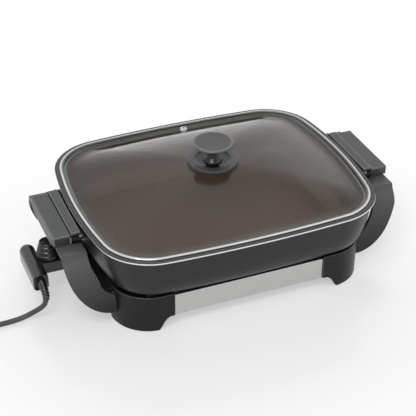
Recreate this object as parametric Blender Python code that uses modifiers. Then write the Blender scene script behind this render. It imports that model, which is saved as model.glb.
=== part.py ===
"""Electric skillet with a lift-off glass lid, built from its separate pieces.

Metres, +Z up, the front at -Y. The pan stands in the middle, and the heat control plugs in at the left, -X.
The pan, the control and the lid each hang from their own empty, because each of them comes off.
"""

import math

import bmesh
import bpy
from mathutils import Matrix, Vector

# Clearances
GAP = 0.0003
OVERRUN = 0.004
MERGE = 0.00001
SMOOTH_ANGLE = math.radians(35)

# Counts of steps
CORNER_STEPS = 8
SIDE_STEPS = 2
TURN_STEPS = 28
FINE_TURN_STEPS = 40
ARM_STEPS = 8
BRACKET_STEPS = 6
SPLINE_STEPS = 24

SIDES = (("left", -1), ("right", 1))
ENDS = (("front", -1), ("rear", 1))
CORNERS = tuple((f"{end}_{side}", sx, sy) for end, sy in ENDS for side, sx in SIDES)

# Pan, a cast aluminium tray with bowed sides
PAN_HALF_LENGTH = 0.205
PAN_HALF_DEPTH = 0.1653
PAN_CORNER = 0.076
PAN_END_BOW = 0.600
PAN_FRONT_BOW = 1.750
PAN_HEIGHT = 0.075
PAN_WALL = 0.0035
PAN_FLOOR = 0.0045
PAN_SLOPE = 0.050
LIP_THICKNESS = 0.0025
LIP_WIDTH = 0.0112
WALL_SHARES = (
    (0.088, 1.0), (0.112, 0.85), (0.155, 0.62), (0.235, 0.386), (0.345, 0.21),
    (0.50, 0.11), (0.705, 0.048), (0.86, 0.012), (1.0, 0.0),
)

# Base frame: four corner feet, two steel bands and two side rails round a tray
BASE_HEIGHT = 0.0555
BASE_END_SETBACK = 0.025
BASE_FRONT_SETBACK = 0.0288
BASE_CORNER = 0.054
PAN_NEST = 0.0035
FOOT_WALL = 0.005
FOOT_LIFT = 0.001
PAD_HEIGHT = 0.008
ARCH_HEIGHT = 0.0196
ARCH_RUN = 0.0185
ARCH_SHARES = ((0.0, 1.0), (0.31, 0.88), (0.52, 0.67), (0.77, 0.26), (1.0, 0.0))
FOOT_FRONT_LENGTH = 0.0485
FOOT_END_LENGTH = 0.050
FOOT_OVERHANG = 0.0235
BAND_RECESS = 0.0025
BAND_THICKNESS = 0.0012
BAND_FLANGE = 0.008
BAND_DROP = 0.0043
TRAY_THICKNESS = 0.0012
TRAY_WALL = 0.014
RAIL_HEIGHT = 0.010
RAIL_WIDTH = 0.0117
RAIL_PANEL = 0.0035
NOTCH_CLEAR = 0.0015
REST_RADIUS = 0.007
REST_X_SHARE = 0.60
REST_Y_SHARE = 0.52

# Arms that rise from the feet beside the handles
ARM_DROP = 0.0175
ARM_SETBACK = 0.0335
ARM_THICKNESS = 0.005
ARM_INNER_INSET = 0.032
ARM_INNER_RUN = 0.0335
ARM_INNER_FALL = 0.0625
ARM_OUTER_INSET = 0.029
ARM_OUTER_RUN = 0.065
ARM_OUTER_FALL = 0.089
ARM_LEAST_STEP = 0.0004
ARM_FACE_SHARES = (
    (0.0, 1.0), (0.20, 0.997), (0.30, 0.99), (0.447, 0.968), (0.575, 0.942), (0.70, 0.922), (0.76, 0.912),
    (0.793, 0.903), (0.84, 0.878), (0.88, 0.845), (0.92, 0.805), (0.95, 0.780), (0.98, 0.766), (1.0, 0.762),
)
LEDGE_TUCK = 0.0033
LEDGE_CLEAR = 0.0005

# Handles: a bracket, an inner strip and an outer grip panel at each end
HANDLE_REACH = 0.039
HANDLE_HALF = 0.0545
PANEL_WIDTH = 0.0238
PANEL_DROP = 0.0032
PANEL_APRON = 0.006
PANEL_APRON_INSET = 0.0045
PANEL_WALL = 0.0022
PANEL_ROUND = 0.0016
STRIP_INSET = 0.0022
STRIP_RISE = 0.0027
BRACKET_THICKNESS = 0.003
BRACKET_SPREAD = 0.0065
BRACKET_TONGUE_INSET = 0.0085
BRACKET_REACH = 0.033
HANDLE_SCREW_RADIUS = 0.0026
HANDLE_SCREW_HEIGHT = 0.002
HANDLE_SCREW_OUT = 0.0033
HANDLE_SCREW_IN = 0.0031
SCREW_CROWN_SHARE = 0.6

# Lid: a steel rim on the pan's lip, a domed pane, a vent and a knob
RIM_INSET = 0.007
RIM_RISE = 0.0023
RIM_SKIRT_CLEAR = 0.0004
RIM_SHEET = 0.001
RIM_SKIRT_DROP = 0.0085
RIM_SHELF = 0.0035
GLASS_THICKNESS = 0.004
GLASS_SUNK = 0.0014
GLASS_MARGIN = 0.015
GLASS_RISE = 0.0285
GLASS_DOME_POWER = 2.2
GLASS_RING_SHARES = (1.0, 0.93, 0.84, 0.73, 0.60, 0.46, 0.31, 0.15)
GLASS_HOLE = 0.0042
VENT_INSET = 0.0224
VENT_X = 0.013
VENT_HOLE = 0.0018
VENT_BARREL = 0.003
VENT_FLANGE = 0.005
VENT_FLANGE_HEIGHT = 0.0012
FLANGE_RADIUS = 0.0355
FLANGE_HEIGHT = 0.0037
FLANGE_RECESS = 0.0018
FLANGE_RECESS_RADIUS = 0.0235
KNOB_RADIUS = 0.028
KNOB_THICKNESS = 0.004
STEM_RADIUS = 0.015
STEM_HEIGHT = 0.0235
STEM_SHARES = (
    (1.0, 1.0), (0.94, 0.93), (0.66, 0.78), (0.52, 0.60),
    (0.53, 0.42), (0.66, 0.24), (0.88, 0.07), (0.93, 0.0),
)
SCREW_RADIUS = 0.0025
SCREW_CLEAR = 0.0004
SCREW_HEAD_RADIUS = 0.0045
SCREW_HEAD_HEIGHT = 0.0024
SCREW_GRIP = 0.0075
WASHER_RADIUS = 0.009
WASHER_THICKNESS = 0.0015

# Heating element, its terminal block and the guard round the pins
ELEMENT_RADIUS = 0.004
ELEMENT_X_SHARE = 0.51
ELEMENT_Y_SHARE = 0.42
ELEMENT_BEND = 0.030
ELEMENT_LEAD_BEND = 0.012
BLOCK_SETBACK = 0.031
BLOCK_LENGTH = 0.042
BLOCK_HALF = 0.016
BLOCK_HEIGHT = 0.0114
PIN_RADIUS = 0.00225
PIN_LENGTH = 0.019
PIN_OFFSET = 0.0095
GUARD_SHEET = 0.0015
GUARD_LENGTH = 0.0217
GUARD_RISE = 0.0175
GUARD_TAIL = 0.034

# Heat control: a T-shaped housing in two halves, a sensor stem and a dial
NOSE_CLEAR = 0.004
NECK_LENGTH = 0.072
NECK_HALF = 0.0145
NECK_BELOW = 0.0055
HOUSING_WIDTH = 0.021
HOUSING_HALF = 0.040
HOUSING_BELOW = 0.010
HOUSING_ABOVE = 0.016
HOUSING_WALL = 0.0022
HOUSING_ROUND = 0.0035
NECK_ROUND = 0.002
NOSE_SOLID = 0.021
NOSE_SLOPE_FALL = 0.0045
NOSE_SLOPE_RUN = 0.009
PIN_BORE_CLEAR = 0.001
SENSOR_RADIUS = 0.0025
SENSOR_CLEAR = 0.0006
SENSOR_REACH = 0.043
THERMOSTAT_LENGTH = 0.034
THERMOSTAT_HALF = 0.009
THERMOSTAT_BELOW = 0.0033
THERMOSTAT_ABOVE = 0.008
DIAL_SETBACK = 0.062
DIAL_RADIUS = 0.015
DIAL_HEIGHT = 0.0225
DIAL_SHARES = (
    (0.63, 1.0), (0.67, 0.97), (0.70, 0.80), (0.79, 0.74),
    (0.81, 0.52), (0.89, 0.46), (0.92, 0.25), (1.0, 0.19), (1.0, 0.0),
)
SHAFT_RADIUS = 0.003
SHAFT_IN_DIAL = 0.014
SHAFT_CLEAR = 0.0005

# Cord, with the strain relief, the put-away coil, its tie and the plug
CORD_RADIUS = 0.0035
RELIEF_ROOT_RADIUS = 0.0065
RELIEF_TIP_RADIUS = 0.0045
RELIEF_ABOVE = 0.003
RELIEF_STRAIGHT = 0.003
RELIEF_RUN = 0.0130
RELIEF_STEPS = 8
TURN_GAP = 0.0006
COIL_MIDDLE_RADIUS = 0.0385
COIL_TURNS = 3.25
COIL_TURN_POINTS = 24
COIL_X = -0.372
COIL_Y = -0.0035
TIE_THICKNESS = 0.0008
TIE_WIDTH = 0.005
TIE_PASSES = (0.75, 1.75, 2.75)
TAIL_LENGTH = 0.062
TAIL_KNOT_SHARE = 0.5
PLUG_LENGTH = 0.030
PLUG_HALF_WIDTH = 0.0115
PLUG_HEIGHT = 0.016
PLUG_ROUND = 0.003
BLADE_LENGTH = 0.017
BLADE_HALF_WIDTH = 0.0032
BLADE_THICKNESS = 0.0016
BLADE_OFFSET = 0.00635
CORD_START = (-0.2604, -0.0577, 0.0342)
CORD_LEAD = (-0.2621, -0.0580, 0.0274)
CORD_ROUTE = (
    (-0.2660, -0.0558, 0.0212),
    (-0.2762, -0.0505, 0.0120),
    (-0.2895, -0.0482, 0.0056),
    (-0.3035, -0.0489, 0.0040),
    (-0.3230, -0.0496, 0.0040),
    (-0.3450, -0.0486, 0.0043),
)
CORD_POINT_SPACING = 0.006

# Heights and places that follow from the sizes above
PAN_BOTTOM = BASE_HEIGHT - PAN_NEST
LIP_TOP = PAN_BOTTOM + PAN_HEIGHT
LIP_BOTTOM = LIP_TOP - LIP_THICKNESS
PAN_PLAN = (PAN_HALF_LENGTH, PAN_HALF_DEPTH, PAN_CORNER, PAN_END_BOW, PAN_FRONT_BOW)
BASE_HALF_LENGTH = PAN_HALF_LENGTH - BASE_END_SETBACK
BASE_HALF_DEPTH = PAN_HALF_DEPTH - BASE_FRONT_SETBACK
FOOT_FRONT_END = BASE_HALF_LENGTH - FOOT_FRONT_LENGTH - FOOT_OVERHANG
FOOT_SIDE_END = BASE_HALF_DEPTH - FOOT_END_LENGTH - FOOT_OVERHANG
TRAY_BOTTOM = ARCH_HEIGHT + 2 * GAP
TRAY_FLOOR = TRAY_BOTTOM + TRAY_THICKNESS
BLOCK_OUTER = PAN_HALF_LENGTH - BLOCK_SETBACK
BLOCK_TOP = PAN_BOTTOM - GAP
CONTACT_Z = BLOCK_TOP - BLOCK_HEIGHT / 2
NOSE_TIP = BLOCK_OUTER + NOSE_CLEAR
NECK_ROOT = NOSE_TIP + NECK_LENGTH
PROBE_REACH = NECK_ROOT + HOUSING_WIDTH
HOUSING_TOP = CONTACT_Z + HOUSING_ABOVE
DIAL_X = NOSE_TIP + DIAL_SETBACK
GUARD_HALF = BLOCK_HALF + GAP + GUARD_SHEET
GUARD_BOTTOM = BLOCK_TOP - BLOCK_HEIGHT - GAP - GUARD_SHEET
PANEL_OUTER = PAN_HALF_LENGTH + HANDLE_REACH
PANEL_APRON_HALF = HANDLE_HALF - PANEL_APRON_INSET
BRACKET_HALF = HANDLE_HALF + BRACKET_SPREAD
BRACKET_TONGUE_HALF = HANDLE_HALF - BRACKET_TONGUE_INSET
LEDGE_END = HANDLE_HALF - LEDGE_TUCK
PANEL_TOP = LIP_TOP - PANEL_DROP
BRACKET_TOP = PANEL_TOP - PANEL_WALL - GAP
ARM_TOP = LIP_TOP - ARM_DROP
ARM_DEPTH = BASE_HALF_DEPTH - ARM_SETBACK
ARM_INNER = (PAN_HALF_LENGTH - ARM_INNER_INSET, ARM_INNER_RUN, ARM_INNER_FALL)
ARM_OUTER = (PAN_HALF_LENGTH - ARM_OUTER_INSET, ARM_OUTER_RUN, ARM_OUTER_FALL)
SKIRT_BOTTOM = ARM_TOP + LEDGE_CLEAR
GLASS_INSET = LIP_WIDTH + RIM_SKIRT_CLEAR + RIM_SHEET + GAP
RIM_TOP = LIP_TOP + RIM_RISE
GLASS_EDGE = RIM_TOP - GLASS_SUNK
GLASS_TOP = GLASS_EDGE + GLASS_RISE * (1 - GLASS_RING_SHARES[-1] ** GLASS_DOME_POWER)
FLANGE_BOTTOM = GLASS_TOP + GAP
STEM_BOTTOM = FLANGE_BOTTOM + FLANGE_HEIGHT - FLANGE_RECESS + GAP
KNOB_BOTTOM = STEM_BOTTOM + STEM_HEIGHT + GAP
COIL_LIFT = TIE_THICKNESS + 2 * GAP
LAYER_RISE = 2 * CORD_RADIUS + TURN_GAP

# The origin lies under the middle of the object, its control and handles included
FRAME_SHIFT = (PROBE_REACH - PANEL_OUTER) / 2

PLANE_TURNS = {
    "XY": (0.0, 0.0, 0.0),
    "XZ": (math.pi / 2, 0.0, 0.0),
    "YZ": (math.pi / 2, 0.0, math.pi / 2),
}


def clear_scene():
    """Remove whatever the open file holds."""
    for item in list(bpy.data.objects):
        bpy.data.objects.remove(item, do_unlink=True)
    for group in list(bpy.data.collections):
        bpy.data.collections.remove(group)


def new_collection(name):
    group = bpy.data.collections.new(name)
    bpy.context.scene.collection.children.link(group)
    return group


def new_material(name, colour, roughness, metallic=0.0, transmission=0.0):
    """A Principled material with its plain colour, roughness and metallic value."""
    material = bpy.data.materials.new(name)
    material.use_nodes = True
    shader = material.node_tree.nodes["Principled BSDF"]
    shader.inputs["Base Color"].default_value = (*colour, 1.0)
    shader.inputs["Roughness"].default_value = roughness
    shader.inputs["Metallic"].default_value = metallic
    shader.inputs["Transmission Weight"].default_value = transmission
    return material


def new_body(name, parent=None, location=(0.0, 0.0, 0.0)):
    """An empty that carries the pieces of one moving group."""
    empty = bpy.data.objects.new(name, None)
    empty.location = location
    empty.parent = parent
    PARTS.objects.link(empty)
    return empty


def add_piece(name, data, material, body, location=(0.0, 0.0, 0.0), turn=(0.0, 0.0, 0.0)):
    """Name a mesh or curve as one piece of the object and hang it on its body."""
    piece = bpy.data.objects.new(name, data)
    piece.location = location
    piece.rotation_euler = turn
    piece.parent = body
    data.materials.append(material)
    PARTS.objects.link(piece)
    return piece


def add_cutter(name, data, body, location=(0.0, 0.0, 0.0), turn=(0.0, 0.0, 0.0)):
    """A shape that only cuts or joins a piece and isn't one itself."""
    cutter = bpy.data.objects.new(name, data)
    cutter.location = location
    cutter.rotation_euler = turn
    cutter.parent = body
    cutter.hide_render = True
    cutter.display_type = "WIRE"
    CUTTERS.objects.link(cutter)
    return cutter


def combine(piece, cutter, operation="DIFFERENCE"):
    """Cut a piece with a cutter, or join the two."""
    modifier = piece.modifiers.new(cutter.name, "BOOLEAN")
    modifier.operation = operation
    modifier.solver = "EXACT"
    modifier.object = cutter


def round_edges(piece, width, segments=2):
    """Round a piece's sharp edges."""
    modifier = piece.modifiers.new("rounded edges", "BEVEL")
    modifier.width = width
    modifier.segments = segments
    modifier.limit_method = "ANGLE"


def finish_mesh(bm, name, smooth_angle=None):
    """Turn a bmesh with its faces pointing out into a mesh."""
    bmesh.ops.recalc_face_normals(bm, faces=bm.faces)
    mesh = bpy.data.meshes.new(name)
    bm.to_mesh(mesh)
    bm.free()
    if smooth_angle is not None:
        mesh.shade_smooth()
        mesh.set_sharp_from_angle(angle=smooth_angle)
    return mesh


def box_mesh(name, low, high):
    """A box between two corners."""
    low, high = Vector(low), Vector(high)
    bm = bmesh.new()
    place = Matrix.Translation((low + high) / 2) @ Matrix.Diagonal((*(high - low), 1.0))
    bmesh.ops.create_cube(bm, size=1.0, matrix=place)
    return finish_mesh(bm, name)


def rod_mesh(name, radius, low, high, steps=TURN_STEPS):
    """A cylinder along Z from low to high."""
    bm = bmesh.new()
    place = Matrix.Translation((0.0, 0.0, (low + high) / 2))
    bmesh.ops.create_cone(
        bm, cap_ends=True, segments=steps, radius1=radius, radius2=radius, depth=high - low, matrix=place
    )
    return finish_mesh(bm, name, SMOOTH_ANGLE)


def mesh_of_curve(curve):
    """The closed mesh of a filled or bevelled curve."""
    holder = bpy.data.objects.new(curve.name, curve)
    bpy.context.scene.collection.objects.link(holder)
    shape = holder.evaluated_get(bpy.context.evaluated_depsgraph_get())
    mesh = bpy.data.meshes.new_from_object(shape)
    bpy.data.objects.remove(holder, do_unlink=True)
    bm = bmesh.new()
    bm.from_mesh(mesh)
    bmesh.ops.remove_doubles(bm, verts=bm.verts, dist=MERGE)
    bmesh.ops.recalc_face_normals(bm, faces=bm.faces)
    bm.to_mesh(mesh)
    bm.free()
    mesh.materials.clear()
    return mesh


def plate_mesh(name, outlines, thickness):
    """A flat outline, filled and extruded to a thickness about its own plane; later outlines are holes."""
    curve = bpy.data.curves.new(name, "CURVE")
    curve.dimensions = "2D"
    curve.fill_mode = "BOTH"
    curve.extrude = thickness / 2
    for outline in outlines:
        spline = curve.splines.new("POLY")
        spline.points.add(len(outline) - 1)
        for point, (u, v) in zip(spline.points, outline):
            point.co = (u, v, 0.0, 1.0)
        spline.use_cyclic_u = True
    return mesh_of_curve(curve)


def plate(maker, name, outlines, low, high, plane, *details):
    """Make a plate from low to high along the normal of its plane, as a piece or as a cutter."""
    middle = (low + high) / 2
    places = {"XY": (0.0, 0.0, middle), "XZ": (0.0, middle, 0.0), "YZ": (middle, 0.0, 0.0)}
    mesh = plate_mesh(name, outlines, high - low)
    return maker(name, mesh, *details, location=places[plane], turn=PLANE_TURNS[plane])


def turned(name, profile, material, body, location=(0.0, 0.0, 0.0), steps=TURN_STEPS, closed=False):
    """Turn a profile of radius and height about Z; it runs down its outer side."""
    bm = bmesh.new()
    points = [bm.verts.new((radius, 0.0, height)) for radius, height in profile]
    for first, second in zip(points, points[1:]):
        bm.edges.new((first, second))
    if closed:
        bm.edges.new((points[-1], points[0]))
    mesh = bpy.data.meshes.new(name)
    bm.to_mesh(mesh)
    bm.free()
    piece = add_piece(name, mesh, material, body, location)
    screw = piece.modifiers.new("turned", "SCREW")
    screw.steps = steps
    screw.render_steps = steps
    screw.use_merge_vertices = True
    screw.merge_threshold = MERGE
    screw.use_smooth_shade = True
    return piece


def tube(name, points, radii, material, body, resolution=2):
    """A round tube with filled ends through the points."""
    curve = bpy.data.curves.new(name, "CURVE")
    curve.dimensions = "3D"
    curve.bevel_depth = radii[0]
    curve.bevel_resolution = resolution
    curve.use_fill_caps = True
    spline = curve.splines.new("POLY")
    spline.points.add(len(points) - 1)
    for item, point, radius in zip(spline.points, points, radii):
        item.co = (*point, 1.0)
        item.radius = radius / radii[0]
    spline.use_smooth = True
    return add_piece(name, curve, material, body)


def loft_mesh(name, rings, closed=False):
    """Skin rings of equal counts; the first and last are capped unless the skin closes on itself."""
    bm = bmesh.new()
    loops = [[bm.verts.new(point) for point in ring] for ring in rings]
    pairs = list(zip(loops, loops[1:]))
    if closed:
        pairs.append((loops[-1], loops[0]))
    else:
        bm.faces.new(loops[0])
        bm.faces.new(loops[-1])
    for lower, upper in pairs:
        for index, corner in enumerate(lower):
            following = (index + 1) % len(lower)
            bm.faces.new((corner, lower[following], upper[following], upper[index]))
    return finish_mesh(bm, name, SMOOTH_ANGLE)


def arc(centre, radius, start, end, steps):
    """Points along a circle, both ends included."""
    angles = [start + (end - start) * index / steps for index in range(steps + 1)]
    return [(centre[0] + radius * math.cos(a), centre[1] + radius * math.sin(a)) for a in angles]


def full_ring(quarter):
    """Mirror a quarter, which runs from the X axis to the Y axis, into a whole outline."""
    upper = quarter + [(-x, y) for x, y in reversed(quarter[:-1])]
    return upper + [(x, -y) for x, y in reversed(upper[1:-1])]


def bowed_outline(plan, inset=0.0):
    """The pan's outline, three tangent arcs to a quarter, drawn in by an inset."""
    half_x, half_y, corner, end_bow, front_bow = plan
    end_centre = Vector((half_x - end_bow, 0.0))
    front_centre = Vector((0.0, half_y - front_bow))
    link = front_centre - end_centre
    end_reach = end_bow - corner
    front_reach = front_bow - corner
    along = (end_reach**2 - front_reach**2 + link.length_squared) / (2 * link.length)
    across = math.sqrt(end_reach**2 - along**2)
    unit = link.normalized()
    centre = end_centre + unit * along + Vector((-unit.y, unit.x)) * across
    first = math.atan2(centre.y - end_centre.y, centre.x - end_centre.x)
    second = math.atan2(centre.y - front_centre.y, centre.x - front_centre.x)
    quarter = arc(end_centre, end_bow - inset, 0.0, first, SIDE_STEPS)[:-1]
    quarter += arc(centre, corner - inset, first, second, CORNER_STEPS)[:-1]
    quarter += arc(front_centre, front_bow - inset, second, math.pi / 2, SIDE_STEPS)
    quarter[0] = (half_x - inset, 0.0)
    quarter[-1] = (0.0, half_y - inset)
    return full_ring(quarter)


def base_corner_arc(inset=0.0):
    """The base's rounded corner at +X +Y, from the side round to the front, drawn in by an inset."""
    centre = (BASE_HALF_LENGTH - BASE_CORNER, BASE_HALF_DEPTH - BASE_CORNER)
    return arc(centre, BASE_CORNER - inset, 0.0, math.pi / 2, CORNER_STEPS)


def base_outline(inset):
    """The base's whole outline, a rectangle with round corners, drawn in by an inset."""
    corner = base_corner_arc(inset)
    upper = corner + [(-x, y) for x, y in reversed(corner)]
    return upper + [(x, -y) for x, y in reversed(upper)]


def at_height(outline, height):
    return [(x, y, height) for x, y in outline]


def in_corner(points, sx, sy):
    """Move an outline that is drawn at +X +Y into one of the four corners."""
    return [(sx * x, sy * y) for x, y in points]


def read_shares(shares, at):
    """Read a table of shares between its rows."""
    for (low, low_value), (high, high_value) in zip(shares, shares[1:]):
        if at <= high:
            return low_value + (high_value - low_value) * (at - low) / (high - low)
    return shares[-1][1]


def pan_outside():
    """Inset and height down the outside of the pan's wall."""
    fall = LIP_BOTTOM - PAN_BOTTOM
    return [(inset * PAN_SLOPE, PAN_BOTTOM + height * fall) for inset, height in WALL_SHARES]


def pan_inside():
    """Inset and height down the inside of the wall, one wall's thickness from the outside."""
    outside = [Vector(point) for point in pan_outside()]
    inside = [(LIP_WIDTH, LIP_TOP)]
    for before, here, after in zip(outside, outside[1:], outside[2:]):
        along = (after - before).normalized()
        point = here + Vector((-along.y, along.x)) * PAN_WALL
        inside.append((max(LIP_WIDTH, point.x), max(PAN_BOTTOM + PAN_FLOOR, point.y)))
    inside.append((PAN_SLOPE, PAN_BOTTOM + PAN_FLOOR))
    return inside


def pan_wall_inset(height):
    """How far the outside of the pan's wall is drawn in at a height."""
    rising = [(z, inset) for inset, z in reversed(pan_outside())]
    return read_shares(rising, height)


def make_pan(body):
    """The cast pan with its flat lip."""
    lip = [(0.0, LIP_BOTTOM), (0.0, LIP_TOP)]
    profile = list(reversed(pan_outside())) + lip + pan_inside()
    rings = [at_height(bowed_outline(PAN_PLAN, inset), height) for inset, height in profile]
    add_piece("pan", loft_mesh("pan", rings), COATED_METAL, body)


def make_element(body):
    """The heating element under the pan, its terminal block, its pins and the guard round them."""
    height = PAN_BOTTOM - GAP - ELEMENT_RADIUS
    half_x = ELEMENT_X_SHARE * PAN_HALF_LENGTH
    half_y = ELEMENT_Y_SHARE * PAN_HALF_DEPTH
    start = BLOCK_OUTER - BLOCK_LENGTH - GAP
    corners = [
        ((-start, -PIN_OFFSET), 0.0), ((-half_x, -PIN_OFFSET), ELEMENT_LEAD_BEND),
        ((-half_x, -half_y), ELEMENT_BEND), ((half_x, -half_y), ELEMENT_BEND),
        ((half_x, half_y), ELEMENT_BEND), ((-half_x, half_y), ELEMENT_BEND),
        ((-half_x, PIN_OFFSET), ELEMENT_LEAD_BEND), ((-start, PIN_OFFSET), 0.0),
    ]
    route = at_height(rounded_route(corners), height)
    tube("heating_element", route, [ELEMENT_RADIUS] * len(route), DARK_STEEL, body)
    make_terminal_block(body)
    make_guard(body)


def rounded_route(corners, steps=4):
    """A flat route with an arc of its own radius at each corner."""
    points = [corners[0][0]]
    for before, (corner, radius), after in zip(corners, corners[1:], corners[2:]):
        here = Vector(corner)
        back = (Vector(before[0]) - here).normalized()
        ahead = (Vector(after[0]) - here).normalized()
        half_angle = back.angle(ahead) / 2
        centre = here + (back + ahead).normalized() * radius / math.sin(half_angle)
        first = here + back * radius / math.tan(half_angle) - centre
        last = here + ahead * radius / math.tan(half_angle) - centre
        turn = first.angle_signed(last)
        for index in range(steps + 1):
            swing = Matrix.Rotation(-turn * index / steps, 2)
            points.append(tuple(centre + swing @ first))
    points.append(corners[-1][0])
    return points


def make_terminal_block(body):
    """The block under the pan that the pins and the sensor pass into."""
    inner = BLOCK_OUTER - BLOCK_LENGTH
    low = (-BLOCK_OUTER, -BLOCK_HALF, BLOCK_TOP - BLOCK_HEIGHT)
    block = add_piece("terminal_block", box_mesh("terminal_block", low, (-inner, BLOCK_HALF, BLOCK_TOP)),
                      CERAMIC, body)
    bore = rod_mesh("sensor bore", SENSOR_RADIUS + SENSOR_CLEAR, inner - OVERRUN, BLOCK_OUTER + OVERRUN)
    combine(block, add_cutter("sensor bore", bore, body, (0.0, 0.0, CONTACT_Z), (0.0, -math.pi / 2, 0.0)))
    for end, sy in ENDS:
        pin = rod_mesh(f"terminal_pin_{end}", PIN_RADIUS, BLOCK_OUTER + GAP, BLOCK_OUTER + GAP + PIN_LENGTH)
        place = (0.0, sy * PIN_OFFSET, CONTACT_Z)
        add_piece(f"terminal_pin_{end}", pin, BRIGHT_STEEL, body, place, (0.0, -math.pi / 2, 0.0))


def make_guard(body):
    """The U-shaped guard that the control's nose slides into, with a tail under the block."""
    inner_half = GUARD_HALF - GUARD_SHEET
    floor = GUARD_BOTTOM + GUARD_SHEET
    top = GUARD_BOTTOM + GUARD_RISE
    section = [
        (-GUARD_HALF, top), (-GUARD_HALF, GUARD_BOTTOM), (GUARD_HALF, GUARD_BOTTOM), (GUARD_HALF, top),
        (inner_half, top), (inner_half, floor), (-inner_half, floor), (-inner_half, top),
    ]
    outer = BLOCK_OUTER + GUARD_LENGTH
    root = BLOCK_OUTER - OVERRUN / 2
    guard = plate(add_piece, "terminal_guard", [section], -outer, -root, "YZ", DARK_STEEL, body)
    tail = box_mesh("guard tail", (-root - OVERRUN, -inner_half, GUARD_BOTTOM),
                    (GUARD_TAIL - BLOCK_OUTER, inner_half, floor))
    combine(guard, add_cutter("guard tail", tail, body), "UNION")


def make_handle(body, side, sx):
    """One handle: bracket, inner strip, grip panel and the two screws on the pan's side."""
    make_bracket(body, side, sx)
    strip_inner = PAN_HALF_LENGTH + STRIP_INSET
    strip_outer = PANEL_OUTER - PANEL_WIDTH - GAP
    ends = sorted((sx * strip_inner, sx * strip_outer))
    top = PANEL_TOP + STRIP_RISE
    strip = box_mesh(f"handle_strip_{side}", (ends[0], -HANDLE_HALF, BRACKET_TOP + GAP),
                     (ends[1], HANDLE_HALF, top))
    piece = add_piece(f"handle_strip_{side}", strip, GRIP_PLASTIC, body)
    round_edges(piece, PANEL_ROUND)
    make_panel(body, side, sx)


def make_bracket(body, side, sx):
    """A flat steel bracket: it follows the pan's wall, has a tongue under the grip and a lug at each end."""
    bow = PAN_END_BOW - pan_wall_inset(BRACKET_TOP) + GAP
    swing = math.asin(BRACKET_HALF / bow)
    seam = PANEL_OUTER - PANEL_WIDTH - GAP
    reach = PAN_HALF_LENGTH + BRACKET_REACH
    bottom = BRACKET_TOP - BRACKET_THICKNESS
    root = arc((PAN_HALF_LENGTH - PAN_END_BOW, 0.0), bow, swing, -swing, BRACKET_STEPS)
    tongue = [
        (seam, -BRACKET_HALF), (seam, -BRACKET_TONGUE_HALF), (reach, -BRACKET_TONGUE_HALF),
        (reach, BRACKET_TONGUE_HALF), (seam, BRACKET_TONGUE_HALF), (seam, BRACKET_HALF),
    ]
    outline = [(sx * x, y) for x, y in root + tongue]
    bracket = plate(add_piece, f"handle_bracket_{side}", [outline], bottom, BRACKET_TOP, "XY", DARK_STEEL, body)
    across = sorted((sx * (PAN_HALF_LENGTH + STRIP_INSET), sx * (seam - GAP)))
    for end, sy in ENDS:
        along = sorted((sy * (HANDLE_HALF - BRACKET_THICKNESS), sy * HANDLE_HALF))
        lug = box_mesh(f"lug {end} {side}", (across[0], along[0], SKIRT_BOTTOM),
                       (across[1], along[1], bottom + BRACKET_THICKNESS / 2))
        combine(bracket, add_cutter(f"lug {end} {side}", lug, body), "UNION")
    for end, sy in ENDS:
        place = (sx * (PAN_HALF_LENGTH + HANDLE_SCREW_IN), sy * (BRACKET_HALF - HANDLE_SCREW_OUT), 0.0)
        base = BRACKET_TOP + GAP
        top = base + HANDLE_SCREW_HEIGHT
        profile = [
            (0.0, top), (HANDLE_SCREW_RADIUS * SCREW_CROWN_SHARE, top),
            (HANDLE_SCREW_RADIUS, (base + top) / 2), (HANDLE_SCREW_RADIUS, base), (0.0, base),
        ]
        turned(f"handle_screw_{end}_{side}", profile, BRIGHT_STEEL, body, place, TURN_STEPS // 2)


def make_panel(body, side, sx):
    """The grip panel: a cap with a skirt, deeper along the middle of its outer side."""
    inner = PANEL_OUTER - PANEL_WIDTH
    ends = sorted((sx * inner, sx * PANEL_OUTER))
    mesh = box_mesh(f"grip_panel_{side}", (ends[0], -HANDLE_HALF, SKIRT_BOTTOM - PANEL_APRON),
                    (ends[1], HANDLE_HALF, PANEL_TOP))
    panel = add_piece(f"grip_panel_{side}", mesh, GRIP_PLASTIC, body)
    round_edges(panel, PANEL_ROUND)
    hollow = sorted((sx * (inner - OVERRUN), sx * (PANEL_OUTER - PANEL_WALL)))
    below = SKIRT_BOTTOM - PANEL_APRON - OVERRUN
    cavity = box_mesh(f"grip hollow {side}", (hollow[0], PANEL_WALL - HANDLE_HALF, below),
                      (hollow[1], HANDLE_HALF - PANEL_WALL, PANEL_TOP - PANEL_WALL))
    combine(panel, add_cutter(f"grip hollow {side}", cavity, body))
    across = sorted((sx * (inner - OVERRUN), sx * (PANEL_OUTER + OVERRUN)))
    for end, sy in ENDS:
        along = sorted((sy * PANEL_APRON_HALF, sy * (HANDLE_HALF + OVERRUN)))
        notch = box_mesh(f"apron end {end} {side}", (across[0], along[0], below),
                         (across[1], along[1], SKIRT_BOTTOM))
        combine(panel, add_cutter(f"apron end {end} {side}", notch, body))


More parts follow.
